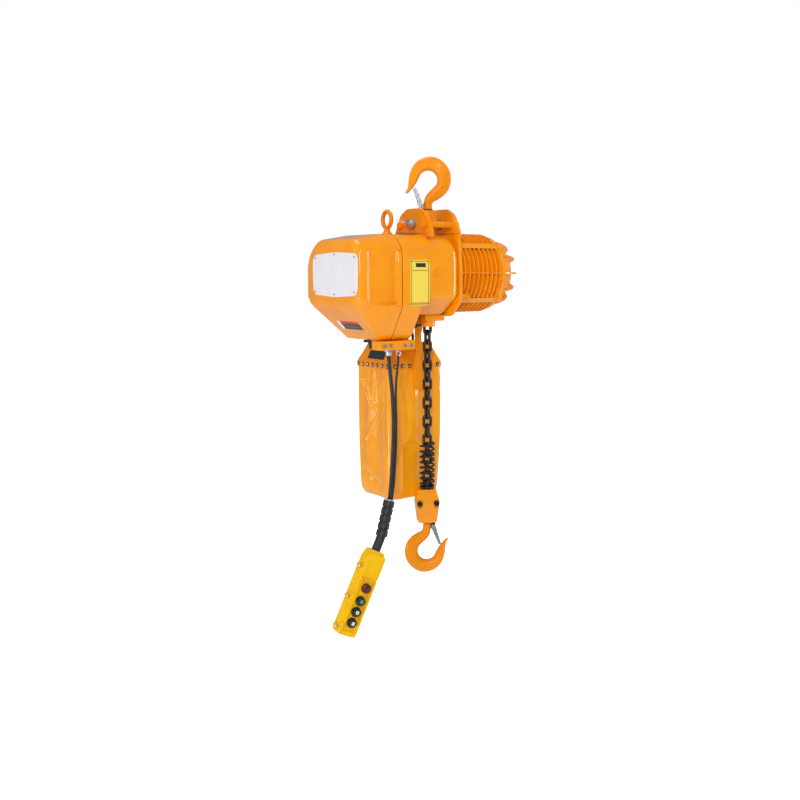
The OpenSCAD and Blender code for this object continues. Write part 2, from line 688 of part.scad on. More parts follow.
module block_outline() {
    polygon(rounded([[-29, block_top, 5], [29, block_top, 5], [41, -1050, 10], [31, block_bottom, 6],
        [-31, block_bottom, 6], [-41, -1050, 10]], 4));
}
module block_half(s) {
    rotate([0, 0, chain_twist]) difference() {
        intersection() {
            rotate([90, 0, 0]) linear_extrude(64, center = true) block_outline();
            rotate([90, 0, 90]) linear_extrude(90, center = true)
                polygon(rounded([[-24, block_top, 5], [24, block_top, 5], [26, -1050, 10], [25, block_bottom, 6],
                    [-25, block_bottom, 6], [-26, -1050, 10]], 4));
            translate([-50, s < 0 ? -40 : 0.1, -1130]) cube([100, 39.9, 140]);
        }
        translate([0, 0, -1070]) cylinder(r = 20.5, h = 70);
        translate([0, 0, -1097]) cylinder(r = 19, h = 30);
        translate([0, 0, -1130]) cylinder(r = 10.3, h = 40);
        for (x = [-28, 28]) {
            translate([x, 0, -1053]) rotate([90, 0, 0]) cylinder(r = 5.1, h = 90, center = true);
            translate([x, s * 28, -1053]) rotate([90, 0, 0]) cylinder(r = 9.5, h = 20, center = true);
        }
        translate([0, 0, chain_pin_z]) rotate([90, 0, 0]) cylinder(r = 6.05, h = 56, center = true);
    }
}
chain_pin_z = axis_z + chain_shift - chain_last * pitch - pitch / 2 + 6.3;
module block_front_half() {
    color(orange) block_half(-1);
}
module block_rear_half() {
    color(orange) block_half(1);
}
module block_bolts() {
    color(black) rotate([0, 0, chain_twist]) {
        for (x = [-28, 28]) translate([x, 0, -1053]) rotate([90, 0, 0]) {
            cylinder(r = 5, h = 38, center = true);
            translate([0, 0, 18.2]) cylinder(r = 8.5, h = 8);
            translate([0, 0, -24.2]) cylinder(r = 8.5, h = 6, $fn = 6);
        }
        translate([0, 0, chain_pin_z]) rotate([90, 0, 0]) cylinder(r = 6, h = 46, center = true);
    }
}

// ---------- chain guide, limit switch, glands ----------

module chain_guide() {
    color(orange) difference() {
        union() {
            translate([-30, -30, -466]) cube([76, 2 * axis_y + 60, 19.8]);
            for (y = [0, 2 * axis_y]) translate([0, y, guide_mouth]) cylinder(r = 25, h = 20, $fn = 64);
            translate([-20, -20, -447]) cube([40, 40, 25]);
            translate([-20, 2 * axis_y - 20, -447]) cube([40, 40, 25]);
        }
        for (y = [0, 2 * axis_y]) translate([0, y, -490]) cylinder(r = 17.8, h = 80, $fn = 64);
    }
}
module limit_lever() {
    color(black) difference() {
        union() {
            translate([-53, 0, -479]) rotate([90, 0, 0]) cylinder(r = 6, h = 8, center = true);
            translate([-53, -4, -482]) cube([25, 8, 6]);
            translate([-60, -4, -479]) cube([9, 8, 24]);
        }
        translate([-53, 0, -479]) rotate([90, 0, 0]) cylinder(r = 2.6, h = 12, center = true);
    }
}
module limit_switch() {
    color(black) {
        translate([-92, -16, -470]) cube([30, 32, barrel_z + 469.9]);
        translate([-53, 0, -479]) rotate([90, 0, 0]) cylinder(r = 2.5, h = 22, center = true, $fn = 24);
        for (s = [-1, 1]) difference() {
            translate([-80, s * 8.5 - 2.5, -486]) cube([33, 5, 15.9]);
            translate([-53, s * 8.5, -479]) rotate([90, 0, 0]) cylinder(r = 2.55, h = 8, center = true, $fn = 24);
        }
    }
}
module gland_block() {
    color(orange) difference() {
        translate([-226, -63, -548]) cube([132, 42, 27.8]);
        for (x = [gland[0], -142]) translate([x, gland[1], -552]) cylinder(r = 8.1, h = 40);
    }
}
module cable_gland() {
    color(steel) {
        translate(gland) difference() {
            union() {
                translate([0, 0, -8]) cylinder(r = 12, h = 7.9, $fn = 6);
                translate([0, 0, -18]) cylinder(r1 = 9, r2 = 11, h = 10, $fn = 48);
                cylinder(r = 8, h = 20);
            }
            translate([0, 0, -19]) cylinder(r = cable_d / 2 + 0.2, h = 19);
        }
        // eye of the strain rope
        translate([-142, gland[1], -548]) {
            cylinder(r = 8, h = 12);
            translate([0, 0, -4]) cylinder(r = 11, h = 3.9, $fn = 6);
            translate([0, 0, -12.5]) rotate([0, 90, 30]) rotate_extrude($fn = 48) translate([7.5, 0]) circle(r = 2, $fn = 16);
        }
    }
}
module power_gland() {
    color(black) translate([-205, mid_y - 40, lobe_bottom]) difference() {
        union() {
            translate([0, 0, -14]) cylinder(r1 = 11, r2 = 16, h = 13.9);
            translate([0, 0, -26]) cylinder(r = 10, h = 13);
            translate([0, 0, -1]) cylinder(r = 11.8, h = 15);
        }
        translate([0, 0, -27]) cylinder(r = 6.5, h = 42);
    }
}

// ---------- chain bag ----------

bag_front = 43;
bag_mid = [-12, bag_front + bag_d / 2];
frame_top = bag_rim + 68;
function bag_ring(w, d, z, r = 14, at = bag_mid) = [for (p = rounded([[-w / 2, -d / 2, r], [w / 2, -d / 2, r],
    [w / 2, d / 2, r], [-w / 2, d / 2, r]], 4)) [at[0] + p[0], at[1] + p[1], z]];
module bag_frame() {
    color(orange) difference() {
        loft([bag_ring(bag_w + 5, bag_d + 5, bag_rim - 10), bag_ring(bag_w + 5, bag_d + 5, bag_rim + 8),
            bag_ring(bag_w - 48, bag_d - 50, frame_top)]);
        loft([bag_ring(bag_w + 1, bag_d + 1, bag_rim - 11), bag_ring(bag_w + 1, bag_d + 1, bag_rim + 8),
            bag_ring(bag_w - 53, bag_d - 55, frame_top + 1)]);
    }
}
// A domed rivet head that stands on a wall; it leans over by the angle about X, or about Y.
module rivet(at, lean, sideways = false) {
    translate(at) rotate(sideways ? [0, lean == 180 ? -90 : 90, 0] : [lean, 0, 0]) {
        cylinder(r = 4.6, h = 1.2, $fn = 24);
        translate([0, 0, 1.2]) intersection() {
            sphere(r = 4.6, $fn = 24);
            cylinder(r = 5, h = 3, $fn = 24);
        }
    }
}
module bag_rivets() {
    color(steel) {
        // the strap covers one place on the front
        for (k = [-3, -2, -1, 1, 2, 3]) rivet([bag_mid[0] + k * 28, bag_mid[1] - bag_d / 2 - 2.6, bag_rim], 90);
        for (k = [-3:3]) rivet([bag_mid[0] + k * 28, bag_mid[1] + bag_d / 2 + 2.6, bag_rim], -90);
        for (k = [-3:3], s = [-1, 1])
            rivet([bag_mid[0] + s * (bag_w / 2 + 2.6), bag_mid[1] + k * 28, bag_rim], 90 + s * 90 + 180, true);
    }
}
module chain_bag() {
    color([1, 0.6, 0.05]) difference() {
        loft([bag_ring(bag_w - 60, bag_d - 50, bag_bottom, 20), bag_ring(bag_w - 24, bag_d - 16, bag_bottom + 12, 22),
            bag_ring(bag_w - 6, bag_d - 2, bag_bottom + 50), bag_ring(bag_w - 2, bag_d - 2, bag_rim - 60),
            bag_ring(bag_w + 0.6, bag_d + 0.6, bag_rim + 4)]);
        loft([bag_ring(bag_w - 66, bag_d - 56, bag_bottom + 3, 18), bag_ring(bag_w - 29, bag_d - 21, bag_bottom + 15, 20),
            bag_ring(bag_w - 10, bag_d - 6, bag_bottom + 50), bag_ring(bag_w - 6, bag_d - 6, bag_rim - 60),
            bag_ring(bag_w - 3.4, bag_d - 3.4, bag_rim + 5)]);
    }
}
module bag_hangers() {
    color(orange) {
        translate([-28, bag_front - 6.2, -690]) cube([36, 3.4, 223.8]);
        translate([-28, bag_front - 12, -471.2]) cube([36, 9, 5]);
    }
    color(black) for (p = [[-104, 66], [-104, 200]]) {
        translate([p[0], p[1], lobe_bottom - 22]) cube([10, 12, 21.9]);
        translate([p[0], p[1] - 6, frame_top + 0.1]) cube([64, 24, 4]);
        translate([p[0], p[1], frame_top + 2]) cube([10, 12, 20]);
    }
}

// ---------- pendant ----------

hand_top = [-240, -62, -1158];
// Places the handset: local -Z runs down its length and local -Y is its face.
module place_hand() {
    translate(hand_top) rotate([0, 0, hand_turn]) rotate([0, hand_tilt, 0]) children();
}
function hand_outline(dx) = rounded([[-hand_w / 2 + dx + 8, -dx, 5], [-hand_w / 2 + dx, -30, 8], [-hand_w / 2 + dx, -hand_l + 8, 7],
    [-hand_w / 2 + dx + 8, -hand_l + dx, 5], [hand_w / 2 - dx - 8, -hand_l + dx, 5], [hand_w / 2 - dx, -hand_l + 8, 7],
    [hand_w / 2 - dx, -30, 8], [hand_w / 2 - dx - 8, -dx, 5]], 4);
module hand_slab(y0, y1, dx) {
    translate([0, y1, 0]) rotate([90, 0, 0]) linear_extrude(y1 - y0) polygon(hand_outline(dx));
}
lug_at = [for (s = [-1, 1], z = [-60, -158, -254]) [s * (hand_w / 2 + 3), z]];
button_z = [-118, -160, -195, -230];
button_r = [15, 13, 13, 13];
module hand_lugs(y0, y1) {
    for (p = lug_at) translate([p[0], y1, p[1]]) rotate([90, 0, 0]) cylinder(r = 7, h = y1 - y0);
}
module pendant_front() {
    color(yellow) place_hand() difference() {
        union() {
            hand_slab(-hand_d / 2, 0, 2);
            hand_lugs(-9, 0);
            translate([-hand_w / 2 + 3, -hand_d / 2 - 5, -88]) cube([hand_w - 6, 12, 76]);
        }
        hand_slab(-hand_d / 2 + 4, 1, 6);
        translate([-19, -hand_d / 2 - 1, -252]) cube([38, 3, 152]);
        for (i = [0:3]) translate([0, 0, button_z[i]]) rotate([90, 0, 0]) cylinder(r = button_r[i] - 1.5, h = 60);
        for (p = lug_at) translate([p[0], 0, p[1]]) rotate([90, 0, 0]) cylinder(r = 2.6, h = 40, center = true);
        translate([0, 0, -20]) cylinder(r = 14.3, h = 30);
    }
}
module pendant_rear() {
    color(yellow) place_hand() difference() {
        union() {
            hand_slab(0.2, hand_d / 2, 2);
            hand_lugs(0.2, 9);
        }
        hand_slab(-1, hand_d / 2 - 4, 6);
        for (p = lug_at) translate([p[0], 0, p[1]]) rotate([90, 0, 0]) cylinder(r = 2.6, h = 40, center = true);
        translate([0, 0, -20]) cylinder(r = 14.3, h = 30);
    }
}
module pendant_screws() {
    color(steel) place_hand() for (p = lug_at) translate([p[0], 0, p[1]]) rotate([90, 0, 0]) {
        cylinder(r = 2.5, h = 22, center = true, $fn = 24);
        translate([0, 0, 9.1]) cylinder(r = 4.6, h = 3, $fn = 24);
    }
}
// A push button, its cap proud of the face by the given height, with its stem through the face.
module button(i, proud, shade) {
    color(shade) place_hand() translate([0, 0, button_z[i]]) rotate([90, 0, 0]) {
        translate([0, 0, hand_d / 2 - 1.5 + 4]) cylinder(r = button_r[i], h = proud - 2.5);
        translate([0, 0, hand_d / 2 - 18]) cylinder(r = button_r[i] - 1.9, h = 21);
    }
}
module stop_button() {
    button(0, 16, [0.35, 0.06, 0.08]);
}
module start_button() {
    button(1, 12, black);
}
module up_button() {
    button(2, 12, black);
}
module down_button() {
    button(3, 12, black);
}
boot_top = [-188, -60, -1009];
// Stands children on the point a, their Z axis towards the point b.
module aim(a, b) {
    v = b - a;
    translate(a) rotate([0, acos(v[2] / norm(v)), atan2(v[1], v[0])]) children();
}
sleeve_low = place_point([0, 0, 44]);
sleeve_l = norm(boot_top - sleeve_low);
sleeve_ribs = 5;
module pendant_boot() {
    rib = sleeve_l / sleeve_ribs;
    color(black) {
        place_hand() translate([0, 0, -18]) cylinder(r = 14, h = 66);
        aim(sleeve_low, boot_top) {
            cylinder(r = 15.5, h = sleeve_l);
            for (k = [0:sleeve_ribs - 1]) translate([0, 0, k * rib]) cylinder(r = 18, h = rib - 4);
        }
    }
}
// Where a point of the handset's frame lies in the row frame.
function place_point(q) =
    let (a = [q[0] * cos(hand_tilt) + q[2] * sin(hand_tilt), q[1], -q[0] * sin(hand_tilt) + q[2] * cos(hand_tilt)])
    hand_top + [a[0] * cos(hand_turn) - a[1] * sin(hand_turn), a[0] * sin(hand_turn) + a[1] * cos(hand_turn), a[2]];

// Routes of the free cable and of the strain rope beside it.
cable_route = [[-178, -42, -549], [-178, -42, -562], [-176.6, -42.4, -585], [-173, -43.5, -620],
    [-169, -45, -660], [-166.4, -47, -700], [-165.6, -49, -740], [-166, -51, -780], [-168, -52.8, -820],
    [-171, -54.3, -860], [-174.6, -55.8, -900], [-178.2, -57.2, -936], [-182.2, -58.6, -972],
    [-187.6, -59.9, -1007.6]];
rope_route = [[-142, -42, -570], [-143.5, -42.2, -590], [-147.4, -42.8, -618], [-151.4, -43.8, -650],
    [-154, -45.4, -682], [-155.2, -47, -712], [-155.4, -49, -742], [-155.8, -51, -780], [-157.6, -52.8, -820],
    [-160.4, -54.3, -860], [-163.8, -55.8, -900], [-166.4, -56.8, -926], [-168.8, -57.6, -948],
    [-171.6, -58.1, -970], [-174.7, -58.5, -990], [-178, -58.9, -1009.5]];
module control_cable() {
    color(black) loft(tube_rings(cable_route, [for (p = cable_route) cable_d / 2], 12, [0, 1, 0]));
}
module strain_rope() {
    color(black) loft(tube_rings(rope_route, [for (p = rope_route) rope_d / 2], 8, [0, 1, 0]));
}

gear_case();
control_cover();
nameplate();
housing_screws();
back_panel();
contactors();
transformer();
gearbox_end_plate();
gearbox_mid_plate();
bearing_wall();
bearings();
cheek_plate_left();
cheek_plate_right();
spacer_rods();
suspension_pin();
eye_bolt();
oil_plug();
motor_housing();
stator();
end_cap();
brake_coil();
chain_guide();
limit_switch();
gland_block();
cable_gland();
power_gland();
bag_frame();
bag_rivets();
chain_bag();
bag_hangers();
slack_chain();
motor_shaft();
rotor_core();
brake_disc();
first_gear_shaft();
second_gear_shaft();
load_sheave();
load_gear();
load_chain();
limit_spring();
block_front_half();
block_rear_half();
block_bolts();
bottom_hook();
bottom_latch();
top_yoke();
top_hook();
top_latch();
limit_lever();
pendant_front();
pendant_rear();
pendant_screws();
pendant_boot();
control_cable();
strain_rope();
stop_button();
start_button();
up_button();
down_button();
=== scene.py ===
# %% [markdown]
# # Electric chain hoist
# The hoist hangs from its top hook: an orange gear case with a control cover at the left and a
# finned motor at the right, a black load chain with its hook block, a PVC bag for the slack chain,
# and a yellow pendant on its cable. The imported CAD model is the frame. Every piece is made at the
# place and the size that the frame gives, and all but the two cords ride on one of its bodies.

# %% Load the frame
import math
import bpy
from mathutils import Matrix, Vector


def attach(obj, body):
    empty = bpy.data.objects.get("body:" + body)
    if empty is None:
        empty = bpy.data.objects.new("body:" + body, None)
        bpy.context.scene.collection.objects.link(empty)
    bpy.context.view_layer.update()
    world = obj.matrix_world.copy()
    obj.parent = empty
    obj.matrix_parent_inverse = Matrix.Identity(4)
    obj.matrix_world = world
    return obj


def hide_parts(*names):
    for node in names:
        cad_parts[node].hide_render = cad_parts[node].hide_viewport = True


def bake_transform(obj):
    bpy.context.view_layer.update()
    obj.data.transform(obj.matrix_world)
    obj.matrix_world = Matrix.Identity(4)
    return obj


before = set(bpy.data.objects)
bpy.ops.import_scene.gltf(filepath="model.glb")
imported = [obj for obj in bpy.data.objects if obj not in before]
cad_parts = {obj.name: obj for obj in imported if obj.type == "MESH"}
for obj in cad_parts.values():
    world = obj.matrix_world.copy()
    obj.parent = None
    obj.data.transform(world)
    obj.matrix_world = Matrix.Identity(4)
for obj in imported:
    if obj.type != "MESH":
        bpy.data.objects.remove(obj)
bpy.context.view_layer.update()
MM = 0.001
HERE = Matrix.Identity(4)
DOUBLE = 0.005  # mm between points that count as one

# %% [markdown]
# The camera looks from the operator's side, 35 degrees to the left of the front and a little from
# above, with a portrait lens, so that the cover's end face and the motor's side both show.

# %% Camera
eye, target = Vector((-1.907, -2.5715, -0.3204)), Vector((-0.0714, 0.0500, -0.7191))
bpy.ops.object.select_all(action="DESELECT")
bpy.ops.object.camera_add(location=eye)
camera = bpy.context.object
camera.rotation_euler = (target - eye).to_track_quat("-Z", "Y").to_euler()
camera.data.lens, camera.data.sensor_width = 45.35, 36
bpy.context.scene.camera = camera
print("camera", round((target - eye).length, 2), "m away")

# %% [markdown]
# Everything is shaped with a few hand moves. Something is selected on its own, a modifier is
# applied, and a solid is drawn through rings by extruding a circle ring by ring. A ring is a list
# of points in millimetres, so casings, hooks, springs and cables are all made in one way.

# %% Selecting and modifying
def clear():
    """Leaves edit mode, with nothing selected."""
    if bpy.context.object and bpy.context.object.mode != "OBJECT":
        bpy.ops.object.mode_set(mode="OBJECT")
    bpy.ops.object.select_all(action="DESELECT")


def take(piece):
    clear()
    piece.select_set(True)
    bpy.context.view_layer.objects.active = piece
    return piece


def modify(piece, kind, **settings):
    take(piece)
    modifier = piece.modifiers.new(kind.lower(), kind)
    for key, value in settings.items():
        setattr(modifier, key, value)
    bpy.ops.object.modifier_apply(modifier=modifier.name)
    return piece


def choose(piece, domain, test):
    """Selects, in edit mode, the vertices or faces that pass the test."""
    take(piece)
    bpy.ops.object.mode_set(mode="EDIT")
    bpy.ops.mesh.select_mode(type=domain)
    bpy.ops.mesh.select_all(action="DESELECT")
    bpy.ops.object.mode_set(mode="OBJECT")
    for item in piece.data.vertices if domain == "VERT" else piece.data.polygons:
        item.select = bool(test(item))
    bpy.ops.object.mode_set(mode="EDIT")


def merged(piece):
    """Merges doubles and turns all faces outwards."""
    take(piece)
    bpy.ops.object.mode_set(mode="EDIT")
    bpy.ops.mesh.select_all(action="SELECT")
    bpy.ops.mesh.remove_doubles(threshold=DOUBLE * MM)
    bpy.ops.mesh.normals_make_consistent(inside=False)
    bpy.ops.object.mode_set(mode="OBJECT")
    return piece


def bevelled(piece, width, segments=2, angle=32):
    return modify(piece, "BEVEL", width=width * MM, segments=segments, limit_method="ANGLE",
                  angle_limit=math.radians(angle), use_clamp_overlap=False)


# %% Places
def spin(degrees, axis):
    return Matrix.Rotation(math.radians(degrees), 4, axis)


def shift(x, y, z):
    return Matrix.Translation((x, y, z))


def sine(degrees):
    return math.sin(math.radians(degrees))


def cosine(degrees):
    return math.cos(math.radians(degrees))


def step(value, low, high):
    """Rises smoothly from 0 at low to 1 at high."""
    t = max(0, min(1, (value - low) / (high - low)))
    return t * t * (3 - 2 * t)


# %% Drawing solids
def lofted(name, rings, place=HERE, ends=(True, True)):
    """A solid through rings of equal point counts, in millimetres."""
    clear()
    count = len(rings[0])
    bpy.ops.mesh.primitive_circle_add(vertices=count, radius=1, location=(0, 0, 0))
    piece = bpy.context.object
    piece.name = piece.data.name = name
    bpy.ops.object.mode_set(mode="EDIT")
    bpy.ops.mesh.select_mode(type="VERT")
    bpy.ops.mesh.select_all(action="SELECT")
    for _ in rings[1:]:
        bpy.ops.mesh.extrude_region_move(TRANSFORM_OT_translate={"value": (0, 0, 1)})
    bpy.ops.object.mode_set(mode="OBJECT")
    level = [round(v.co.z) for v in piece.data.vertices]
    for v, at in zip(piece.data.vertices, level):
        turn = math.atan2(v.co.y, v.co.x) - math.pi / 2
        v.co = (place @ Vector(rings[at][round(turn / (2 * math.pi) * count) % count])) * MM
    for wanted, end in zip(ends, (0, len(rings) - 1)):
        if wanted:
            choose(piece, "VERT", lambda v: level[v.index] == end)
            bpy.ops.mesh.edge_face_add()
            bpy.ops.object.mode_set(mode="OBJECT")
    return merged(piece)


def rounded(corners, steps=6):
    """A closed outline whose corners, each (u, v, radius), are arcs."""
    points = []
    for i, (u, v, radius) in enumerate(corners):
        c = Vector((u, v))
        a = (Vector(corners[i - 1][:2]) - c).normalized()
        b = (Vector(corners[(i + 1) % len(corners)][:2]) - c).normalized()
        half = math.acos(max(-1, min(1, a.dot(b)))) / 2
        middle = c + (a + b).normalized() * radius / math.sin(half)
        start, end = (c + side * radius / math.tan(half) - middle for side in (a, b))
        sweep = math.pi - 2 * half
        points += [middle + (start * math.sin((1 - j / steps) * sweep)
                             + end * math.sin(j / steps * sweep)) / math.sin(sweep)
                   for j in range(steps + 1)]
    return [tuple(p) for p in points]


def box_outline(u0, v0, u1, v1, radius, steps=4):
    return rounded([(u0, v0, radius), (u1, v0, radius), (u1, v1, radius), (u0, v1, radius)], steps)


def slab(name, outline, axis, start, end, place=HERE):
    """An outline drawn out along X, Y or Z."""
    put = {"X": lambda u, v, t: (t, u, v), "Y": lambda u, v, t: (u, t, v),
           "Z": lambda u, v, t: (u, v, t)}[axis]
    return lofted(name, [[put(u, v, t) for u, v in outline] for t in (start, end)], place)


def turned(name, profile, origin=(0, 0, 0), along=(0, 0, 1), sides=48, place=HERE):
    """A profile of (distance along the axis, radius) turned about the axis."""
    d = Vector(along).normalized()
    u = d.orthogonal().normalized()
    v = d.cross(u)
    angles = [2 * math.pi * k / sides for k in range(sides)]
    return lofted(name, [[Vector(origin) + d * x + (u * math.cos(a) + v * math.sin(a)) * max(r, 0)
                          for a in angles] for x, r in profile], place)


def swept(name, route, radii, sides=16, side=(0, 1, 0)):
    """A round bar along a route, with a radius at each of its points."""
    rings = []
    for i, p in enumerate(route):
        t = (Vector(route[min(i + 1, len(route) - 1)]) - Vector(route[max(i - 1, 0)])).normalized()
        a = (Vector(side) - t * t.dot(Vector(side))).normalized()
        b = t.cross(a)
        angles = [2 * math.pi * k / sides for k in range(sides)]
        rings.append([Vector(p) + (a * math.cos(k) + b * math.sin(k)) * radii[i] for k in angles])
    return lofted(name, rings)


def smoothed(points, parts):
    """More points on a smooth curve through the given ones."""
    p = [Vector(q) for q in points]
    p = [2 * p[0] - p[1], *p, 2 * p[-1] - p[-2]]
    made = []
    for i in range(1, len(p) - 2):
        for j in range(parts):
            t = j / parts
            made.append(0.5 * (2 * p[i] + (p[i + 1] - p[i - 1]) * t
                               + (2 * p[i - 1] - 5 * p[i] + 4 * p[i + 1] - p[i + 2]) * t * t
                               + (3 * p[i] - p[i - 1] - 3 * p[i + 1] + p[i + 2]) * t ** 3))
    return made + [p[-2]]


# %% Joining, cutting and copying
def joined(name, pieces):
    take(pieces[0])
    for other in pieces:
        other.select_set(True)
    if len(pieces) > 1:
        bpy.ops.object.join()
    pieces[0].name = pieces[0].data.name = name
    return pieces[0]


def combined(piece, other, operation="DIFFERENCE"):
    modify(piece, "BOOLEAN", object=other, operation=operation, solver="MANIFOLD")
    bpy.data.objects.remove(other)
    return piece


def cut(piece, outline, axis, start, end, place=HERE):
    return combined(piece, slab("cutter", outline, axis, start, end, place))


def bored(piece, start, end, radius, origin=(0, 0, 0), along=(0, 0, 1), sides=48, place=HERE):
    return combined(piece, turned("cutter", [(start, radius), (end, radius)], origin, along,
                                  sides, place))


def softened(node, width):
    """A copy of a CAD node with its triangles merged, its flat areas whole and its edges bevelled."""
    piece = bpy.data.objects.new("soft_" + node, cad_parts[node].data.copy())
    bpy.context.scene.collection.objects.link(piece)
    take(piece)
    bpy.ops.mesh.customdata_custom_splitnormals_clear()
    bpy.ops.object.mode_set(mode="EDIT")
    bpy.ops.mesh.select_all(action="SELECT")
    bpy.ops.mesh.remove_doubles(threshold=0.01 * MM)
    bpy.ops.mesh.dissolve_limited(angle_limit=math.radians(0.6))
    bpy.ops.object.mode_set(mode="OBJECT")
    return bevelled(piece, width)


# %% [markdown]
# A finish starts from its real material. Two tones drift over each surface at the size of a hand
# or a finger, the roughness drifts with them, and a fine grain lifts the surface by a few
# hundredths of a millimetre. The hex colours are sRGB, and one function makes them linear.

# %% Adding shader nodes
def linear(code):
    shades = [int(code[i:i + 2], 16) / 255 for i in (1, 3, 5)]
    return (*(c / 12.92 if c <= 0.04045 else ((c + 0.055) / 1.055) ** 2.4 for c in shades), 1.0)


def add(tree, kind, inputs, **settings):
    """Adds a shader node with its links and settings, and returns its outputs."""
    made = tree.nodes.new("ShaderNode" + kind)
    for key, value in settings.items():
        setattr(made, key, value)
    for key, value in inputs.items():
        if isinstance(value, bpy.types.NodeSocket):
            tree.links.new(value, made.inputs[key])
        else:
            made.inputs[key].default_value = value
    return made.outputs


def finish(name, slot, tones, patch, rough, grain, depth, stretch=(1, 1, 1), **shader):
    """slot names the CAD colour it stands for and is not used, tones are two colours, patch and grain
    are sizes in mm, rough is least and most, depth is the grain's height in mm, and stretch squeezes
    the grain along X, Y or Z."""
    material = bpy.data.materials.new(name)
    material.use_nodes = True
    tree = material.node_tree
    inputs = tree.nodes["Principled BSDF"].inputs
    place = add(tree, "TexCoord", {})["Object"]
    drift = add(tree, "TexNoise", {"Vector": place, "Scale": 1 / (patch * MM), "Detail": 4.0})[0]
    clear_drift = add(tree, "MapRange", {"Value": drift, "From Min": 0.35, "From Max": 0.65})[0]
    shade = add(tree, "Mix", {0: clear_drift, 6: linear(tones[0]), 7: linear(tones[1])},
                data_type="RGBA")[2]
    drawn = add(tree, "Mapping", {"Vector": place, "Scale": stretch})[0]
    fine = add(tree, "TexNoise", {"Vector": drawn, "Scale": 1 / (grain * MM), "Detail": 3.0})[0]
    gloss = add(tree, "MapRange", {"Value": fine, "To Min": rough[0], "To Max": rough[1]})[0]
    relief = add(tree, "Bump", {"Height": fine, "Distance": depth * MM, "Strength": 1.0})[0]
    for socket, value in (("Base Color", shade), ("Roughness", gloss), ("Normal", relief)):
        tree.links.new(value, inputs[socket])
    for socket, value in shader.items():
        inputs[socket.replace("_", " ")].default_value = value
    return material


# %% The finishes
# orange enamel sprayed on an aluminium casting: wet gloss over faint orange peel
enamel = finish("orange_enamel_on_casting", "orange_enamel_casting", ("#F49403", "#F99D07"),
                90, (0.22, 0.34), 2.2, 0.03,
                Specular_IOR_Level=0.1, Coat_Weight=0.8, Coat_Roughness=0.06)
# the same enamel on steel plate: flatter, with less peel
enamel_plate = finish("orange_enamel_on_steel", "orange_enamel_steel", ("#F08C02", "#F69506"),
                      60, (0.28, 0.42), 1.6, 0.02,
                      Specular_IOR_Level=0.12, Coat_Weight=0.35, Coat_Roughness=0.1)
# zinc plated steel: bright, with a faint cloud
zinc = finish("zinc_plated_steel", "zinc_steel", ("#B4B8BE", "#D2D5DA"),
              5, (0.18, 0.34), 0.6, 0.01, Metallic=1.0)
# pressed latch plate: dull zinc over rolled steel
latch_steel = finish("dull_zinc_sheet", "zinc_steel", ("#7E8083", "#A5A7AA"),
                     6, (0.3, 0.46), 0.7, 0.01, Metallic=0.8)
# turned and ground steel: greyer, grain round the part
ground = finish("machined_steel", None, ("#A9ABAF", "#C4C6C9"),
                12, (0.25, 0.4), 0.5, 0.012, Metallic=1.0)
# hardened chain steel, blackened and oiled
chain_black = finish("oiled_black_chain_steel", "black_chain_steel", ("#1B1815", "#38312B"),
                     9, (0.18, 0.42), 1.4, 0.05,
                     Metallic=0.55, Coat_Weight=0.3, Coat_Roughness=0.2)
# black oxide on bolts and springs
oxide = finish("black_oxide_steel", "black_chain_steel", ("#161618", "#29292C"),
               7, (0.3, 0.5), 0.8, 0.02, Metallic=0.5)
# moulded neoprene rubber
rubber = finish("moulded_black_rubber", "black_rubber", ("#161618", "#232326"),
                14, (0.42, 0.6), 0.9, 0.03)
# cable sheath: PVC, smoother than rubber
sheath = finish("black_pvc_sheath", "black_rubber", ("#131316", "#1F1F24"),
                20, (0.3, 0.45), 1.8, 0.02)
# glass filled ABS of the pendant: fine spark-eroded grain
yellow = finish("moulded_yellow_abs", "yellow_housing", ("#EDB400", "#F4BE04"),
                40, (0.3, 0.46), 0.8, 0.025,
                Specular_IOR_Level=0.2)
black_cap = finish("moulded_black_acetal", "black_button_plastic", ("#131315", "#202023"),
                   10, (0.25, 0.4), 0.7, 0.015)
red_cap = finish("moulded_dark_red_acetal", "red_button_plastic", ("#4C0A10", "#6A1218"),
                 10, (0.22, 0.36), 0.7, 0.015)
# satin aluminium plate, brushed along Y
satin = finish("brushed_satin_aluminium", "plate_silver", ("#EDEAF0", "#F4F1F6"),
               60, (0.3, 0.46), 0.7, 0.012,
               stretch=(1, 0.04, 1), Metallic=0.12)
switchgear = finish("grey_switchgear_nylon", None, ("#3A3D42", "#4A4E54"),
                    25, (0.35, 0.5), 0.8, 0.02)
copper = finish("enamelled_copper_winding", None, ("#9A4E22", "#C0703A"), 8, (0.25, 0.4), 1.1, 0.2,
                stretch=(1, 0.1, 0.1), Metallic=0.9)
lamination = finish("stacked_electrical_steel", None, ("#5E6166", "#7A7D82"),
                    20, (0.35, 0.5), 0.7, 0.1,
                    stretch=(1, 0.05, 0.05), Metallic=0.9)
print("finishes", len(bpy.data.materials))


# %% Finishing a piece
def finished(piece, material, body, nodes=(), angle=35, even=True):
    """Smooth shading, the finish, the body it rides on and the CAD nodes it stands for."""
    take(piece)
    bpy.ops.object.shade_smooth_by_angle(angle=math.radians(angle))
    if even:
        modify(piece, "WEIGHTED_NORMAL", keep_sharp=True)
    piece.data.materials.clear()
    piece.data.materials.append(material)
    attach(piece, body)
    if nodes:
        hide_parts(*nodes)
    print(f"{piece.name}: {len(piece.data.polygons)} faces on {body}")
    return piece
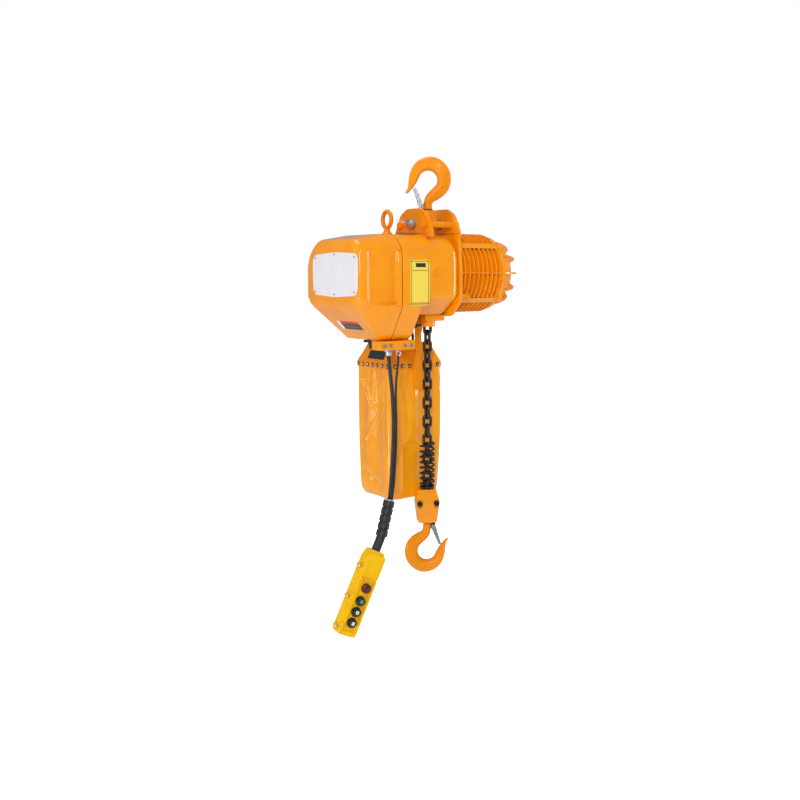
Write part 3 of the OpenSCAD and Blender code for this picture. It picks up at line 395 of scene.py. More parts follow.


# %% [markdown]
# The control cable is a 12 mm round multicore in PVC, and the thin sleeved steel rope beside it
# takes the pull of the operator's hand. Both hang from the gland block to the rubber sleeve of the
# pendant in one long, shallow curve. They are drawn through the same points as their CAD solids.

# %% Cable and strain rope
cable_route = [(-178, -42, -549), (-178, -42, -562), (-176.6, -42.4, -585), (-173, -43.5, -620),
               (-169, -45, -660), (-166.4, -47, -700), (-165.6, -49, -740), (-166, -51, -780),
               (-168, -52.8, -820), (-171, -54.3, -860), (-174.6, -55.8, -900), (-178.2, -57.2, -936),
               (-182.2, -58.6, -972), (-187.6, -59.9, -1007.6)]
rope_route = [(-142, -42, -570), (-143.5, -42.2, -590), (-147.4, -42.8, -618), (-151.4, -43.8, -650),
              (-154, -45.4, -682), (-155.2, -47, -712), (-155.4, -49, -742), (-155.8, -51, -780),
              (-157.6, -52.8, -820), (-160.4, -54.3, -860), (-163.8, -55.8, -900), (-166.4, -56.8, -926),
              (-168.8, -57.6, -948), (-171.6, -58.1, -970), (-174.7, -58.5, -990), (-178, -58.9, -1009.5)]


def hung_cord(name, node, route, width):
    """A round cord of the given width, swept along a smooth curve through the route."""
    line = smoothed(route, 3)
    piece = swept(name, line, [width / 2] * len(line), 20)
    take(piece)
    bpy.ops.object.shade_smooth()
    piece.data.materials.append(sheath)
    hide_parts(node)
    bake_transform(piece)


hung_cord("control_cable_sheath", "control_cable", cable_route, 12)
hung_cord("strain_rope_sleeve", "strain_rope", rope_route, 7)

# %% [markdown]
# The control cover is a deep aluminium casting with generous corner radii. Its lower part slopes up
# to the end, and a shallow flat panel is let into each side between two ledges. It is drawn through
# rings from the end face to the joint, then given its wall, so ledges stay part of one skin.

# %% The casing's outline
MID_Y, AXIS_Z = 47.746, -316  # the motor's axis
HALF_W, TOP, LOBE_LOW = 156, -200, -520  # half the width, the top and the foot of the casing
SEAM_X, SLOPE_X, END_X = -172, -215, -325  # where the cover begins, slopes and ends
SLOPE_RISE = 112  # how far the foot of the cover rises to its end
BULGE = 9  # how far the side walls lean in at the top
CORNER = 8  # parts of the arc at a corner
EYE_X, PLUG_X = -122, -44  # the eye bolt and the oil plug
CHEEK_SLOT = -57.4, -46.6  # the sides of the slot for the left cheek plate


def filled(outline, side, count):
    """Adds points along the straight run after corner number side."""
    after = (side + 1) * (CORNER + 1) - 1
    a, b = Vector(outline[after]), Vector(outline[(after + 1) % len(outline)])
    extra = [tuple(a.lerp(b, k / (count + 1))) for k in range(1, count + 1)]
    return outline[:after + 1] + extra + outline[after + 1:]


def belly(y, z):
    """Pulls the side wall in towards the top, so that the casing is convex."""
    side = 1 if y > MID_Y else -1
    share = min(1, max(0, (abs(y - MID_Y) - 60) / 90))
    return y - side * BULGE * share * (max(0, z + 330) / 115) ** 2


def gear_ring(x, lobe, inset):
    """lobe runs from 0, the upper barrel alone, to 1, the deep lower lobe."""
    w, t, r = HALF_W - inset, TOP - inset, inset * 0.8
    b = AXIS_Z - 130 + (LOBE_LOW - AXIS_Z + 130) * lobe + inset
    f, side_z = 88 + 6 * lobe - inset * 0.7, AXIS_Z - 75 - 25 * lobe + inset * 0.28
    outline = rounded([(MID_Y - w + 38, t, 58 - r), (MID_Y - w, t - 40, 58 - r),
                       (MID_Y - w, side_z, 30 - r), (MID_Y - f, b, 26 - r),
                       (MID_Y + f, b, 26 - r), (MID_Y + w, side_z, 30 - r),
                       (MID_Y + w, t - 40, 58 - r), (MID_Y + w - 38, t, 58 - r)], CORNER)
    return [(x, belly(y, z), z) for y, z in filled(filled(outline, 5, 40), 1, 40)]


def cover_ring(x, inset):
    s = max(0, min(1, (SLOPE_X - x) / (SLOPE_X - END_X)))
    w, t, b = HALF_W - 4 * s - inset, TOP - 17 * s - inset, LOBE_LOW + SLOPE_RISE * s + inset
    f, side_z, r = 94 + 46 * s - inset * 0.6, AXIS_Z - 100 + 28 * s + inset * 0.28, inset * 0.8
    front, foot, back = 58 - 10 * s - r, 24 - 4 * s - r, 58 + 20 * s - r
    outline = rounded([(MID_Y - w + 38 - 8 * s, t, front), (MID_Y - w, t - 40 + 12 * s, front),
                       (MID_Y - w, side_z, 26 - r), (MID_Y - f, b, foot),
                       (MID_Y + f, b, foot), (MID_Y + w, side_z, 26 - r),
                       (MID_Y + w, t - 40 - 6 * s, back), (MID_Y + w - 38 - 20 * s, t, back)], CORNER)
    ring = []
    for y, z in filled(filled(outline, 5, 60), 1, 60):
        y = belly(y, z)
        # the flat panel that is let into each side
        inside = (step(x, -297, -283) * (1 - step(x, -192, -182))
                  * step(z, -411, -406) * (1 - step(z, -250, -245)))
        floor = MID_Y + (HALF_W - 11) * (1 if y > MID_Y else -1)
        if abs(y - MID_Y) > HALF_W - 18 and abs(floor - MID_Y) < abs(y - MID_Y):
            y += (floor - y) * inside
        ring.append((x, y, z))
    return ring


# %% Control cover
cover_steps = [(END_X, 15), (END_X + 0.8, 11), (END_X + 2.5, 7), (END_X + 5, 4),
               (END_X + 9, 1.6), (END_X + 14, 0.4)]
cover_steps += [(x, 0) for x in (-306, -300, -297, -294, -291, -288, -285, -282, -276, -268, -260, -250,
                                 -240, -230, -222, -215, -206, -198, -192, -189, -186, -183, -180, -176)]
cover_steps += [(-173.2, 0.4), (SEAM_X, 2.2)]
cover = lofted("control_cover_casting", [cover_ring(*s) for s in cover_steps], ends=(True, False))
modify(cover, "SOLIDIFY", thickness=5 * MM, offset=-1)
finished(cover, enamel, "hoist", ["control_cover"], 40, even=False)

# %% [markdown]
# The gear case is the middle casting. Its front is convex, a lower lobe makes room for the gears,
# and the right shoulder is rounded towards the motor. A narrow gasket groove shows at the joint
# with the cover.

# %% Gear case
case_steps = [(-170, 1, 2.2), (-168.6, 1, 0.5), (-166, 1, 0)]
case_steps += [(x, 1, 0) for x in (-155, -140, -125, -112)]
case_steps += [(-104, 0.99, 0), (-100, 0.96, 0), (-97.5, 0.88, 0), (-96.3, 0.7, 0), (-95.8, 0.35, 0),
               (-95.2, 0.12, 0), (-93.5, 0.03, 0), (-90, 0, 0)]
case_steps += [(x, 0, 0) for x in (-70, -45, -20, 0, 12)]
case_steps += [(20, 0, 0.6), (27, 0, 2.2), (33, 0, 4.8), (38, 0, 8), (42, 0, 11.5),
               (44.6, 0, 15), (46, 0, 19)]
gear_case = lofted("gear_case_casting", [gear_ring(*s) for s in case_steps], ends=(False, False))
modify(gear_case, "SOLIDIFY", thickness=6 * MM, offset=-1)
# the slot of the left cheek plate, and the holes of the oil plug and of the eye bolt
cut(gear_case, box_outline(-101, TOP - 14, 101, TOP + 30, 2), "X", *CHEEK_SLOT)
bored(gear_case, -30, 20, 9.3, (PLUG_X, MID_Y - HALF_W, AXIS_Z), (0, 1, 0), 40)
bored(gear_case, -30, 30, 6.3, (EYE_X, MID_Y, TOP), sides=32)
finished(gear_case, enamel, "hoist", ["gear_case"], 40, even=False)

# %% [markdown]
# The smaller castings and plates already have the right shape in CAD, but a real edge is never
# sharp: castings have radii of one to three millimetres, and sheared plates about one. A copy of
# each is merged and bevelled, so that every edge catches a line of light.

# %% Castings and plates with broken edges
for node, width, material, body in [
        ("cheek_plate_left", 1.0, enamel_plate, "hoist"),
        ("cheek_plate_right", 1.6, enamel, "hoist"),
        ("spacer_rods", 0.8, enamel_plate, "hoist"),
        ("oil_plug", 0.7, enamel_plate, "hoist"),
        ("motor_housing", 0.55, enamel, "hoist"),
        ("end_cap", 1.0, enamel, "hoist"),
        ("chain_guide", 2.0, enamel, "hoist"),
        ("gland_block", 2.2, enamel, "hoist"),
        ("bag_frame", 0.8, enamel_plate, "hoist"),
        ("nameplate", 0.4, satin, "hoist"),
        ("top_yoke", 2.0, enamel, "yoke"),
        ("block_bolts", 0.6, oxide, "load_block"),
        ("bottom_latch", 0.4, latch_steel, "lower_latch"),
        ("top_latch", 0.4, latch_steel, "upper_latch"),
        ("limit_switch", 0.8, rubber, "hoist"),
        ("limit_lever", 0.5, oxide, "limit_arm"),
        ("power_gland", 0.8, rubber, "hoist")]:
    piece = softened(node, width)
    if node == "motor_housing":
        # the parting line of the casting crosses the fins as a thin ridge
        ridge = slab("ridge", box_outline(64, -79.9, 240, -60, 1), "Z", -317.6, -314.6)
        piece = joined(piece.name, [piece, bevelled(ridge, 0.6)])
    finished(piece, material, body, [node])

# the screws of the cover and of the motor's cap were painted with the casing
screws = softened("housing_screws", 0.4)
choose(screws, "FACE", lambda f: f.center.x / MM > -300 and f.center.z / MM > -500)
bpy.ops.mesh.separate(type="SELECTED")
bpy.ops.object.mode_set(mode="OBJECT")
painted = next(o for o in bpy.context.selected_objects if o != screws)
painted.name = painted.data.name = "painted_screws"
finished(screws, zinc, "hoist", ["housing_screws"])
finished(painted, enamel_plate, "hoist")

# %% Hook block
TWIST = spin(-25, "Z")  # the chain turns the block a little
BOLT_X, BOLT_Z = 28, -1053
# height, half width and depth of each half
block_levels = [(-1007, 25, 20.5), (-1007.8, 27.4, 22.6), (-1010.5, 29.6, 24), (-1024, 33.4, 24.6),
                (-1038, 37.4, 25.3), (-1045, 39, 25.6), (-1050, 39.5, 25.8), (-1055, 39, 25.7),
                (-1064, 37.6, 25.6), (-1085, 35, 25.4), (-1107, 32.2, 25.1), (-1112.5, 31.2, 24.6),
                (-1116, 28.8, 22.6), (-1117, 26, 20)]
for name, s in (("front", -1), ("rear", 1)):
    outlines = [(z, rounded([(-w, s * 0.15, 0.5), (w, s * 0.15, 0.5), (w, s * d, 12), (-w, s * d, 12)], 6))
                for z, w, d in block_levels]
    half = lofted(f"block_{name}_casting", [[(x, y, z) for x, y in line] for z, line in outlines], TWIST)
    for low, high, radius in ((-1070, -1000, 20.5), (-1097, -1067, 19), (-1130, -1090, 10.3)):
        bored(half, low, high, radius, place=TWIST)
    for side in (-1, 1):
        pocket = rounded([(side * 17, -1041.5, 7), (side * 48, -1036, 2), (side * 48, -1071, 2),
                          (side * 18.5, -1066, 9)], 5)
        cut(half, pocket, "Y", s * 18.4, s * 40, TWIST)
        bored(half, -2, 30, 5.1, (side * BOLT_X, 0, BOLT_Z), (0, s, 0), 32, TWIST)
    finished(bevelled(half, 0.7, 2, 50), enamel, "load_block", [f"block_{name}_half"])

# %% [markdown]
# The hooks are drop forgings: a thick round inner side that carries the sling, a thinner outer web,
# a neck for the nut, and a long taper to the tip. One path with a width and a thickness at each
# point draws both, and a subdivision rounds the rings into one flowing skin.

# %% Hooks
BOWL_R, LOW_BOWL, HOOK_TURN = 29, -1242, -33
AT_LOW = shift(0, 0, LOW_BOWL + BOWL_R) @ spin(HOOK_TURN, "Z")
AT_TOP = shift(0, 0, -BOWL_R) @ spin(HOOK_TURN, "Z") @ spin(180, "Y")
# x and z in the hook's plane, direction, half width, half thickness
hook_path = [(0, 86, -90, 11.5, 11.5), (0, 79, -90, 12.7, 12.6), (-0.5, 68, -94, 13.7, 13.4),
             (-5, 58, -116, 16, 14.5), (-15, 49, -136, 18.5, 15.5)]
for i in range(15):
    turn, half = 137 + i * 15, 20.5 + 2.5 * sine(min(180, i * 14)) - max(0, i - 8) * 0.8
    reach = BOWL_R + half
    hook_path.append((reach * cosine(turn), reach * sine(turn), turn + 90, half,
                      16 + 1.2 * sine(min(180, i * 16)) - max(0, i - 10) * 1.2))
hook_path += [(49, 7, 76, 12.6, 11), (53.5, 18, 68, 8.8, 9.5), (58.2, 27.5, 60, 5.9, 7),
              (62.2, 33.5, 52, 4.7, 5.4), (65.6, 37.2, 46, 4.3, 4.6), (67.8, 39.4, 45, 3.2, 3.4),
              (68.7, 40.3, 45, 1.4, 1.6)]


def forged_hook(name, place, stem):
    rings = []
    for x, z, direction, half, thick in hook_path:
        u, w = cosine(direction - 90) * half, sine(direction - 90) * half
        rings.append([(x + u * cosine(a), thick * sine(a) * (1.1 - 0.34 * step(cosine(a), -0.4, 0.25)),
                       z + w * cosine(a)) for a in range(0, 360, 18)])
    body = modify(lofted(name, rings, place), "SUBSURF", levels=1, render_levels=1)
    neck = turned("neck", [(74, 11.4), (76.5, 12.7), (91, 12.7), (92, 11.8)], place=place)
    lug = rounded([(3, 76, 2), (20.5, 76, 6), (27, 79, 6), (27, 85, 6), (20.5, 88, 6), (3, 88, 2)])
    pin = turned("pin", [(-9.5, 2.5), (9.5, 2.5)], (20.5, 0, 82), (0, 1, 0), 24, place)
    return joined(name, [body, neck, turned("stem", stem, place=place),
                         bevelled(slab("lug", lug, "Y", -4.5, 4.5, place), 0.8), bevelled(pin, 0.5)])


low_stem, top_stem = [(90, 10), (-LOW_BOWL - BOWL_R - 1071, 10)], [(88, 9.4), (123, 9.4)]
finished(forged_hook("bottom_hook_forging", AT_LOW, low_stem), enamel_plate, "lower_hook",
         ["bottom_hook"], 45, even=False)
finished(forged_hook("top_hook_forging", AT_TOP, top_stem), enamel_plate, "upper_hook",
         ["top_hook"], 45, even=False)
for name, body, z, r in (("bottom_shank_nut", "lower_hook", -1092, 17),
                         ("top_shank_nut", "upper_hook", -150, 14)):
    nut = turned(name, [(0, r - 1.6), (1.2, r), (10.8, r), (12, r - 1.6)], (0, 0, z), sides=6)
    finished(bevelled(nut, 0.5), zinc, body)
washer = turned("shank_washer", [(0, 15.2), (0.6, 16), (2.4, 16), (3, 15.2)], (0, 0, -122))
finished(washer, oxide, "upper_hook")

# %% [markdown]
# The suspension pin carries the yoke between the cheek plates. It is held by a castle nut with a
# thin split pin through its slots. The eye bolt is a forged ring on a flared collar.

# %% Suspension pin and eye bolt
PIN_Z, COTTER_X = -165, -73.6


def on_pin(name, profile, sides=48):
    return turned(name, profile, (0, 0, PIN_Z), (1, 0, 0), sides)


pin = on_pin("pin", [(-79, 9.4), (-77.6, 11), (62, 11), (64, 10)])
head = bevelled(on_pin("head", [(57.2, 17), (66, 17)]), 1.2)
nut = on_pin("nut", [(-60, 15), (-61.2, 16.5), (-69, 16.5), (-70, 15), (-70.1, 13.8), (-75.5, 13.4),
                     (-76, 12.6)], 6)
for k in range(3):
    cut(nut, box_outline(-2.2, -30, 2.2, 30, 0.5), "X", -82, -71.5,
        shift(0, 0, PIN_Z) @ spin(60 * k + 30, "X"))
bevelled(nut, 0.5)
face = bevelled(on_pin("face", [(-57.1, 17.5), (-60, 17.5)]), 0.6)
bushes = [bevelled(on_pin("bush", [(x, 16), (x + 24.4, 16)]), 0.8) for x in (-46.8, 22.4)]
# the split pin's eye, then its two bent legs, each with its radius
wires = [([(COTTER_X, 16, -165), (COTTER_X, -12, -165), (COTTER_X, -18, -165), (-73, -22, -161.6),
           (COTTER_X, -25, -165), (-74.2, -22, -168.4), (-73.8, -18, -165.6)], 1.5),
         ([(COTTER_X, 14, -165), (-77, 24, -162), (-83, 38, -155), (-87, 48, -150)], 1.1),
         ([(COTTER_X, 14, -164), (-75, 26, -158), (-77, 36, -149), (-78, 42, -143)], 1.1)]
cotter = [swept("cotter", smoothed(line, 4), [r] * (4 * len(line) - 3), 12, (1, 0, 0))
          for line, r in wires]
finished(joined("suspension_pin_set", [pin, head, nut, face, *bushes, *cotter]), zinc, "hoist",
         ["suspension_pin"])

AT_EYE = shift(EYE_X, MID_Y, 0) @ spin(-3, "Z")
EYE_Z, EYE_R = -152, 25
ring_line = [AT_EYE @ Vector((0, EYE_R * sine(a), EYE_Z + EYE_R * cosine(a))) for a in range(0, 366, 5)]
ring = swept("ring", ring_line, [6.5] * len(ring_line), 20, (1, 0, 0))
collar = turned("collar", [(-213, 5.9), (-199.8, 5.9), (-199.8, 16.4), (-198.6, 17), (-194.8, 17),
                           (-193.6, 15.6), (-190, 12), (-184, 9.4), (-179, 8.2)], place=AT_EYE)
finished(joined("eye_bolt_forging", [ring, collar]), enamel_plate, "hoist", ["eye_bolt"])

# %% [markdown]
# The limit spring above the hook block is cold-wound black wire, and it stops the block softly
# against the guide. It is one bar swept along a helix.

# %% Limit spring
COIL_R, COIL_LOW, FLAT, OPEN = 22, -1003.8, 5.9, 139.9  # the rise of the closed turn and of the rest
coil = []
for i in range(217):
    rise = FLAT * i / 24 if i < 24 else FLAT + OPEN * (i - 24) / 192
    coil.append((COIL_R * cosine(i * 15), COIL_R * sine(i * 15), COIL_LOW + rise))
finished(swept("limit_spring_wire", coil, [3.2] * len(coil), 10, (0, 0, 1)), oxide, "load_block",
         ["limit_spring"], 60, even=False)

# %% [markdown]
# The slack chain is stored as a spiral pile. One link is swept along its own oval, and every copy
# has its own mesh at its place down the slack fall or round the pile.

# %% Slack chain
PITCH, INNER_W, WIRE = 30, 13.4, 9.2
PILE_R, PILE_RISE, BAG_LOW = 62, 27, -1046
TOUCH = 28.25  # from one link's middle to the next, round the pile


def link_mesh():
    c, e = (INNER_W + WIRE) / 2, PITCH / 2 - INNER_W / 2 + 0.05
    arc = [(c * cosine(a), 0, e + c * sine(a)) for a in range(0, 181, 20)]
    line = arc + [(-x, 0, -z) for x, _, z in arc]
    rings = []
    for i, p in enumerate(line):
        t = (Vector(line[(i + 1) % len(line)]) - Vector(line[i - 1])).normalized()
        a, b = Vector((0, 1, 0)), t.cross(Vector((0, 1, 0)))
        rings.append([Vector(p) + (a * cosine(k) + b * sine(k)) * WIRE / 2 for k in range(0, 360, 36)])
    return lofted("link", rings + rings[:1], ends=(False, False))


links = [shift(0, 2 * MID_Y, AXIS_Z - 30 - i * PITCH) @ spin(i % 2 * 90, "Z") for i in range(1, 16)]
turn_each = 2 * math.degrees(math.asin(TOUCH / 2 / PILE_R))
slope = math.degrees(math.atan(PILE_RISE / (2 * math.pi * PILE_R)))
for i in range(44):
    links.append(shift(-12, 141, BAG_LOW + 24 + i * turn_each / 360 * PILE_RISE)
                 @ spin(i * turn_each, "Z") @ shift(PILE_R * cosine(turn_each / 2), 0, 0)
                 @ spin(slope - 90, "X") @ spin(i % 2 * 90 + 45, "Z"))
model = link_mesh()
placed = []
for number, place in enumerate(links):
    other = bpy.data.objects.new(f"link_{number}", model.data.copy())
    bpy.context.scene.collection.objects.link(other)
    for v in other.data.vertices:
        v.co = (place @ (v.co / MM)) * MM
    placed.append(other)
bpy.data.objects.remove(model)
finished(joined("slack_chain_links", placed), chain_black, "hoist", ["slack_chain"], 60, even=False)

# %% [markdown]
# The bag is cut from PVC-coated polyester and hangs from the rivets of its steel hood. The chain
# keeps its floor down, and the coated cloth stands in broad dents and stiff creases. It starts as a
# lofted shell that narrows to a round-cornered floor. A short cloth simulation lets the cloth grow
# by a few per cent, so that it buckles by itself, and a cap keeps it in its place.

# %% Bag shell
BAG_W, BAG_D, BAG_RIM, BAG_MID = 204, 196, -610, (-12, 141)
ARC, RUN = 6, 24  # parts of a corner's arc and of a straight side


def bag_ring(w, d, z, radius):
    outline = box_outline(-w / 2, -d / 2, w / 2, d / 2, radius, ARC)
    around = []
    for k, (x, y) in enumerate(outline):
        around.append((x, y))
        if k % (ARC + 1) == ARC:
            u, v = outline[(k + 1) % len(outline)]
            around += [(x + (u - x) * t / RUN, y + (v - y) * t / RUN) for t in range(1, RUN)]
    return [(BAG_MID[0] + x, BAG_MID[1] + y, z) for x, y in around]


# width, depth, height above the floor and corner radius
bag_rings = [bag_ring(w, d, BAG_LOW + up, radius) for w, d, up, radius in (
    (16, 12, 0, 4), (60, 54, 0, 10), (100, 94, 0, 16), (140, 132, 0, 22), (158, 156, 2, 26),
    (174, 172, 7, 28), (184, 182, 16, 28), (190, 188, 28, 26))]
for k in range(46):
    t = k / 45
    z = BAG_LOW + 38 + (BAG_RIM + 4 - BAG_LOW - 38) * t
    full = 194 + 8 * step(t, 0, 0.5) + 1.6 * step(t, 0.9, 1)
    bag_rings.append(bag_ring(full, full - 8, z, 24 - 10 * t))
bag = lofted("chain_bag_cloth", bag_rings, ends=(True, False))
start = [v.co.copy() for v in bag.data.vertices]


# %% Creases and cloth
def crease(px, pz, x, z0, z1, lean, width, depth):
    """A stiff ridge down the front, from height z0 to z1, in millimetres."""
    if not z1 < pz < z0:
        return 0
    off = (px - x - lean * (z0 - pz)) / width
    return depth * math.exp(-off * off) * min(1, (z0 - pz) / 30, (pz - z1) / 30)


front_creases = [(-104, -640, -760, 0.28, 5, 2.4), (-68, -740, -860, -0.05, 5, 3),
                 (-96, -700, -1010, 0.02, 8, -3), (-50, -800, -1020, -0.25, 10, 3),
                 (52, -650, -900, 0.02, 14, 2.6), (20, -640, -1000, 0.03, 12, -2.4),
                 (76, -680, -980, -0.03, 9, -3)]
for v in bag.data.vertices:
    px, py, pz = (c / MM for c in v.co)
    hang = step(pz, BAG_LOW + 10, BAG_LOW + 90) * (1 - step(pz, BAG_RIM - 45, BAG_RIM - 8))
    out = Vector((px - BAG_MID[0], py - BAG_MID[1]))
    if abs(out.y) > abs(out.x):
        wave = 2.6 * math.sin(px * 0.047 + 0.6) + 1.6 * math.sin(px * 0.11 + pz * 0.008)
        ridge = sum(crease(px, pz, *c) for c in front_creases) if out.y < 0 else 0
        v.co.y += math.copysign(hang * (wave - 2.5 + ridge) * MM, out.y)
    else:
        wave = 2.4 * math.sin(py * 0.05 + pz * 0.006 + 1.0)
        v.co.x += math.copysign(hang * (wave - 2.5) * MM, out.x)

held = bag.vertex_groups.new(name="held")
held.add([v.index for v in bag.data.vertices
          if not (BAG_LOW + 4) * MM <= v.co.z <= (BAG_RIM - 12) * MM], 1.0, "REPLACE")
take(bag)
cloth = bag.modifiers.new("cloth", "CLOTH")
for key, value in {"vertex_group_mass": "held", "quality": 6, "mass": 0.4,
                   "tension_stiffness": 30, "compression_stiffness": 30, "shear_stiffness": 15,
                   "bending_stiffness": 4, "shrink_min": -0.02}.items():
    setattr(cloth.settings, key, value)
cloth.settings.effector_weights.gravity = 0.3
for number in range(1, 19):
    bpy.context.scene.frame_set(number)
bpy.ops.object.modifier_apply(modifier=cloth.name)
bpy.context.scene.frame_set(1)
print("cloth settled")
CAP = 9 * MM  # the farthest that the cloth may move
CLEAR_Y, BLOCK_Y = 0.0395, 0.0434  # it stays behind the chain, and behind the hook block
for v, was in zip(bag.data.vertices, start):
    moved = v.co - was
    if moved.length > CAP:
        v.co = was + moved * (CAP / moved.length)
    near_block = v.co.z < -0.86 and abs(v.co.x) < 0.06
    v.co.y = max(v.co.y, BLOCK_Y if near_block else CLEAR_Y)
    v.co.z = max(v.co.z, (BAG_LOW - 2) * MM)
modify(bag, "SUBSURF", levels=1, render_levels=1)
# stiff creases in the left side, each from one (y, z) to another, with its height and width
side_creases = [((213, -664), (153, -745), 3.2, 4.5), ((192, -660), (144, -741), 2.2, 4),
                ((213, -664), (192, -660), 2.4, 4), ((156, -749), (160, -792), 3.2, 4.5),
                ((153, -747), (126, -737), 2.4, 4), ((100, -773), (174, -850), 3.2, 4.5),
                ((118, -770), (150, -820), 2, 4), ((202, -842), (174, -858), 2.4, 4),
                ((174, -854), (170, -905), 3, 4.5), ((196, -960), (110, -1000), -3, 12),
                ((80, -700), (66, -900), -2.2, 9)]
STIFF = 1.35  # how far the creases stand out of the settled cloth
for v in bag.data.vertices:
    if v.co.x / MM < BAG_MID[0] - BAG_W / 2 + 22:
        at = Vector((v.co.y, v.co.z)) / MM
        for first, last, height, width in side_creases:
            run = Vector(last) - Vector(first)
            t = max(0, min(1, (at - Vector(first)).dot(run) / run.length_squared))
            away = (at - Vector(first) - run * t).length / width
            v.co.x -= STIFF * height * math.exp(-away * away) * MM
modify(bag, "SOLIDIFY", thickness=1.0 * MM, offset=-1)
print("bag faces", len(bag.data.polygons))

# %% [markdown]
# PVC-coated cloth is glossy over a weave that only just shows: two crossed sets of threads. The
# real threads are 0.8 mm apart, and here they are drawn 2.4 mm apart, so that they show.

# %% Coated cloth finish
pvc = finish("pvc_coated_polyester", "bag_sheet", ("#F59A06", "#FBA40C"), 70, (0.24, 0.36), 9, 0.1,
             Specular_IOR_Level=0.12, Coat_Weight=1.0, Coat_Roughness=0.05)
THREAD = 2.4
tree = pvc.node_tree
place = add(tree, "TexCoord", {})["Object"]
warp, weft = (add(tree, "TexWave", {"Vector": place, "Scale": 0.314 / (THREAD * MM)},
                  bands_direction=way)[1] for way in "XZ")
weave = add(tree, "Math", {0: warp, 1: weft}, operation="MULTIPLY")[0]
normal = tree.nodes["Principled BSDF"].inputs["Normal"]
grain = normal.links[0].from_socket
woven = add(tree, "Bump", {"Height": weave, "Distance": 0.01 * MM, "Normal": grain})[0]
tree.links.new(woven, normal)
finished(bag, pvc, "hoist", ["chain_bag"], 60, even=False)

# %% [markdown]
# The hood is riveted to the bag through black sealing washers. An orange strap comes down from the
# chain guide, bends over the hood in two waves, and ends in a flat tongue on the bag. Two black
# straps hold the hood behind.

# %% Washers, strap and hangers
NEAR, FAR = BAG_W / 2 + 2.5, BAG_D / 2 + 2.5  # from the bag's middle to its washers
RIVET_STEP = 28
spots = [(k * RIVET_STEP, -FAR, (0, -1, 0)) for k in (-3, -2, -1, 1, 2, 3)]
spots += [(k * RIVET_STEP, FAR, (0, 1, 0)) for k in range(-3, 4)]
spots += [(s * NEAR, k * RIVET_STEP, (s, 0, 0)) for k in range(-3, 4) for s in (-1, 1)]
washers = [turned("washer", [(0, 7.4), (0.7, 7.2), (1.1, 6.4), (1.2, 5.0)],
                  (BAG_MID[0] + x, BAG_MID[1] + y, BAG_RIM), out, 24) for x, y, out in spots]
finished(joined("rivet_washers", washers), rubber, "hoist")

strap_line = [Vector((0, y, z)) for y, z in (
    (40, -468), (37.5, -492), (33.5, -520), (36, -545), (31.5, -566), (36.5, -588), (37.6, -612),
    (36.4, -640), (37.4, -665), (37.2, -690))]
rings = []
for p in smoothed(strap_line, 6):
    tongue = step(-p.z, 600, 640)
    wave = sine((p.z + 500) * 5) * (1 - tongue)
    half, middle = 13.5 + 4.5 * tongue + 1.5 * wave - 4 * step(-p.z, 684, 691), -10 + 3 * wave
    edge = [(-half, 1.3), (-half + 1.5, 1.7), (half - 1.5, 1.7), (half, 1.3)]
    rings.append([(middle + x, p.y - d, p.z) for x, d in edge]
                 + [(middle + x, p.y + d, p.z) for x, d in edge[::-1]])
strap = lofted("front_strap", rings)
foot = bevelled(slab("foot", box_outline(-28, 31, 8, 41, 3), "Z", -471.2, -466.2), 1)
finished(joined("front_strap", [strap, foot]), enamel_plate, "hoist", ["bag_hangers"], 50)
hangers = []
for y in (66, 200):
    drop, foot = box_outline(-104, y, -94, y + 12, 1.5), box_outline(-104, y - 6, -40, y + 18, 4)
    hangers.append(bevelled(slab("drop", drop, "Z", -542, -520.1), 0.8))
    hangers.append(bevelled(slab("foot", foot, "Z", -541.9, -537.9), 1))
finished(joined("rear_hangers", hangers), oxide, "hoist")

# %% [markdown]
# The pendant is two moulded yellow shells screwed together through three lugs at each side. Its
# front has a raised cap at the top and a sunk channel for the four buttons. Each shell is drawn
# through outlines that shrink towards its face, which gives the moulding its rounded rim.

# %% Pendant shells
HAND_W, HAND_L, HAND_D = 66, 276, 50
AT_HAND = shift(-240, -62, -1158) @ spin(-6, "Z") @ spin(25, "Y")
LUG_X, LUG_Z = 36, (-60, -158, -254)
BORE_R = 14.2  # the hole for the rubber sleeve


def hand_outline(inset):
    w, low = HAND_W / 2 - inset, -HAND_L + inset
    return rounded([(-w + 9, -inset, 6), (-w, -30, 9), (-w, low + 9, 9), (-w + 8, low, 8),
                    (w - 8, low, 8), (w, low + 9, 9), (w, -30, 9), (w - 9, -inset, 6)], 5)


def hand_shell(name, parting, face, lug_end):
    way = 1 if face > parting else -1
    levels = [(parting, 3.0), (parting + way * 0.8, 2.2), (face - way * 7, 2), (face - way * 4, 2.6),
              (face - way * 2, 4), (face - way * 0.6, 6.4), (face, 9.5)]
    shell = lofted(name, [[(u, y, w) for u, w in hand_outline(inset)] for y, inset in levels], AT_HAND)
    for s in (-1, 1):
        for z in LUG_Z:
            outline = rounded([(s * 24, z - 9, 2), (s * LUG_X, z - 7.6, 7), (s * 43.2, z, 3),
                               (s * LUG_X, z + 7.6, 7), (s * 24, z + 9, 2)][::s], 4)
            lug = bevelled(slab("lug", outline, "Y", parting, lug_end, AT_HAND), 0.8)
            combined(shell, lug, "UNION")
    cut(shell, hand_outline(6), "Y", parting - way, face - way * 5, AT_HAND)
    return bored(shell, -20, 30, BORE_R, sides=40, place=AT_HAND)


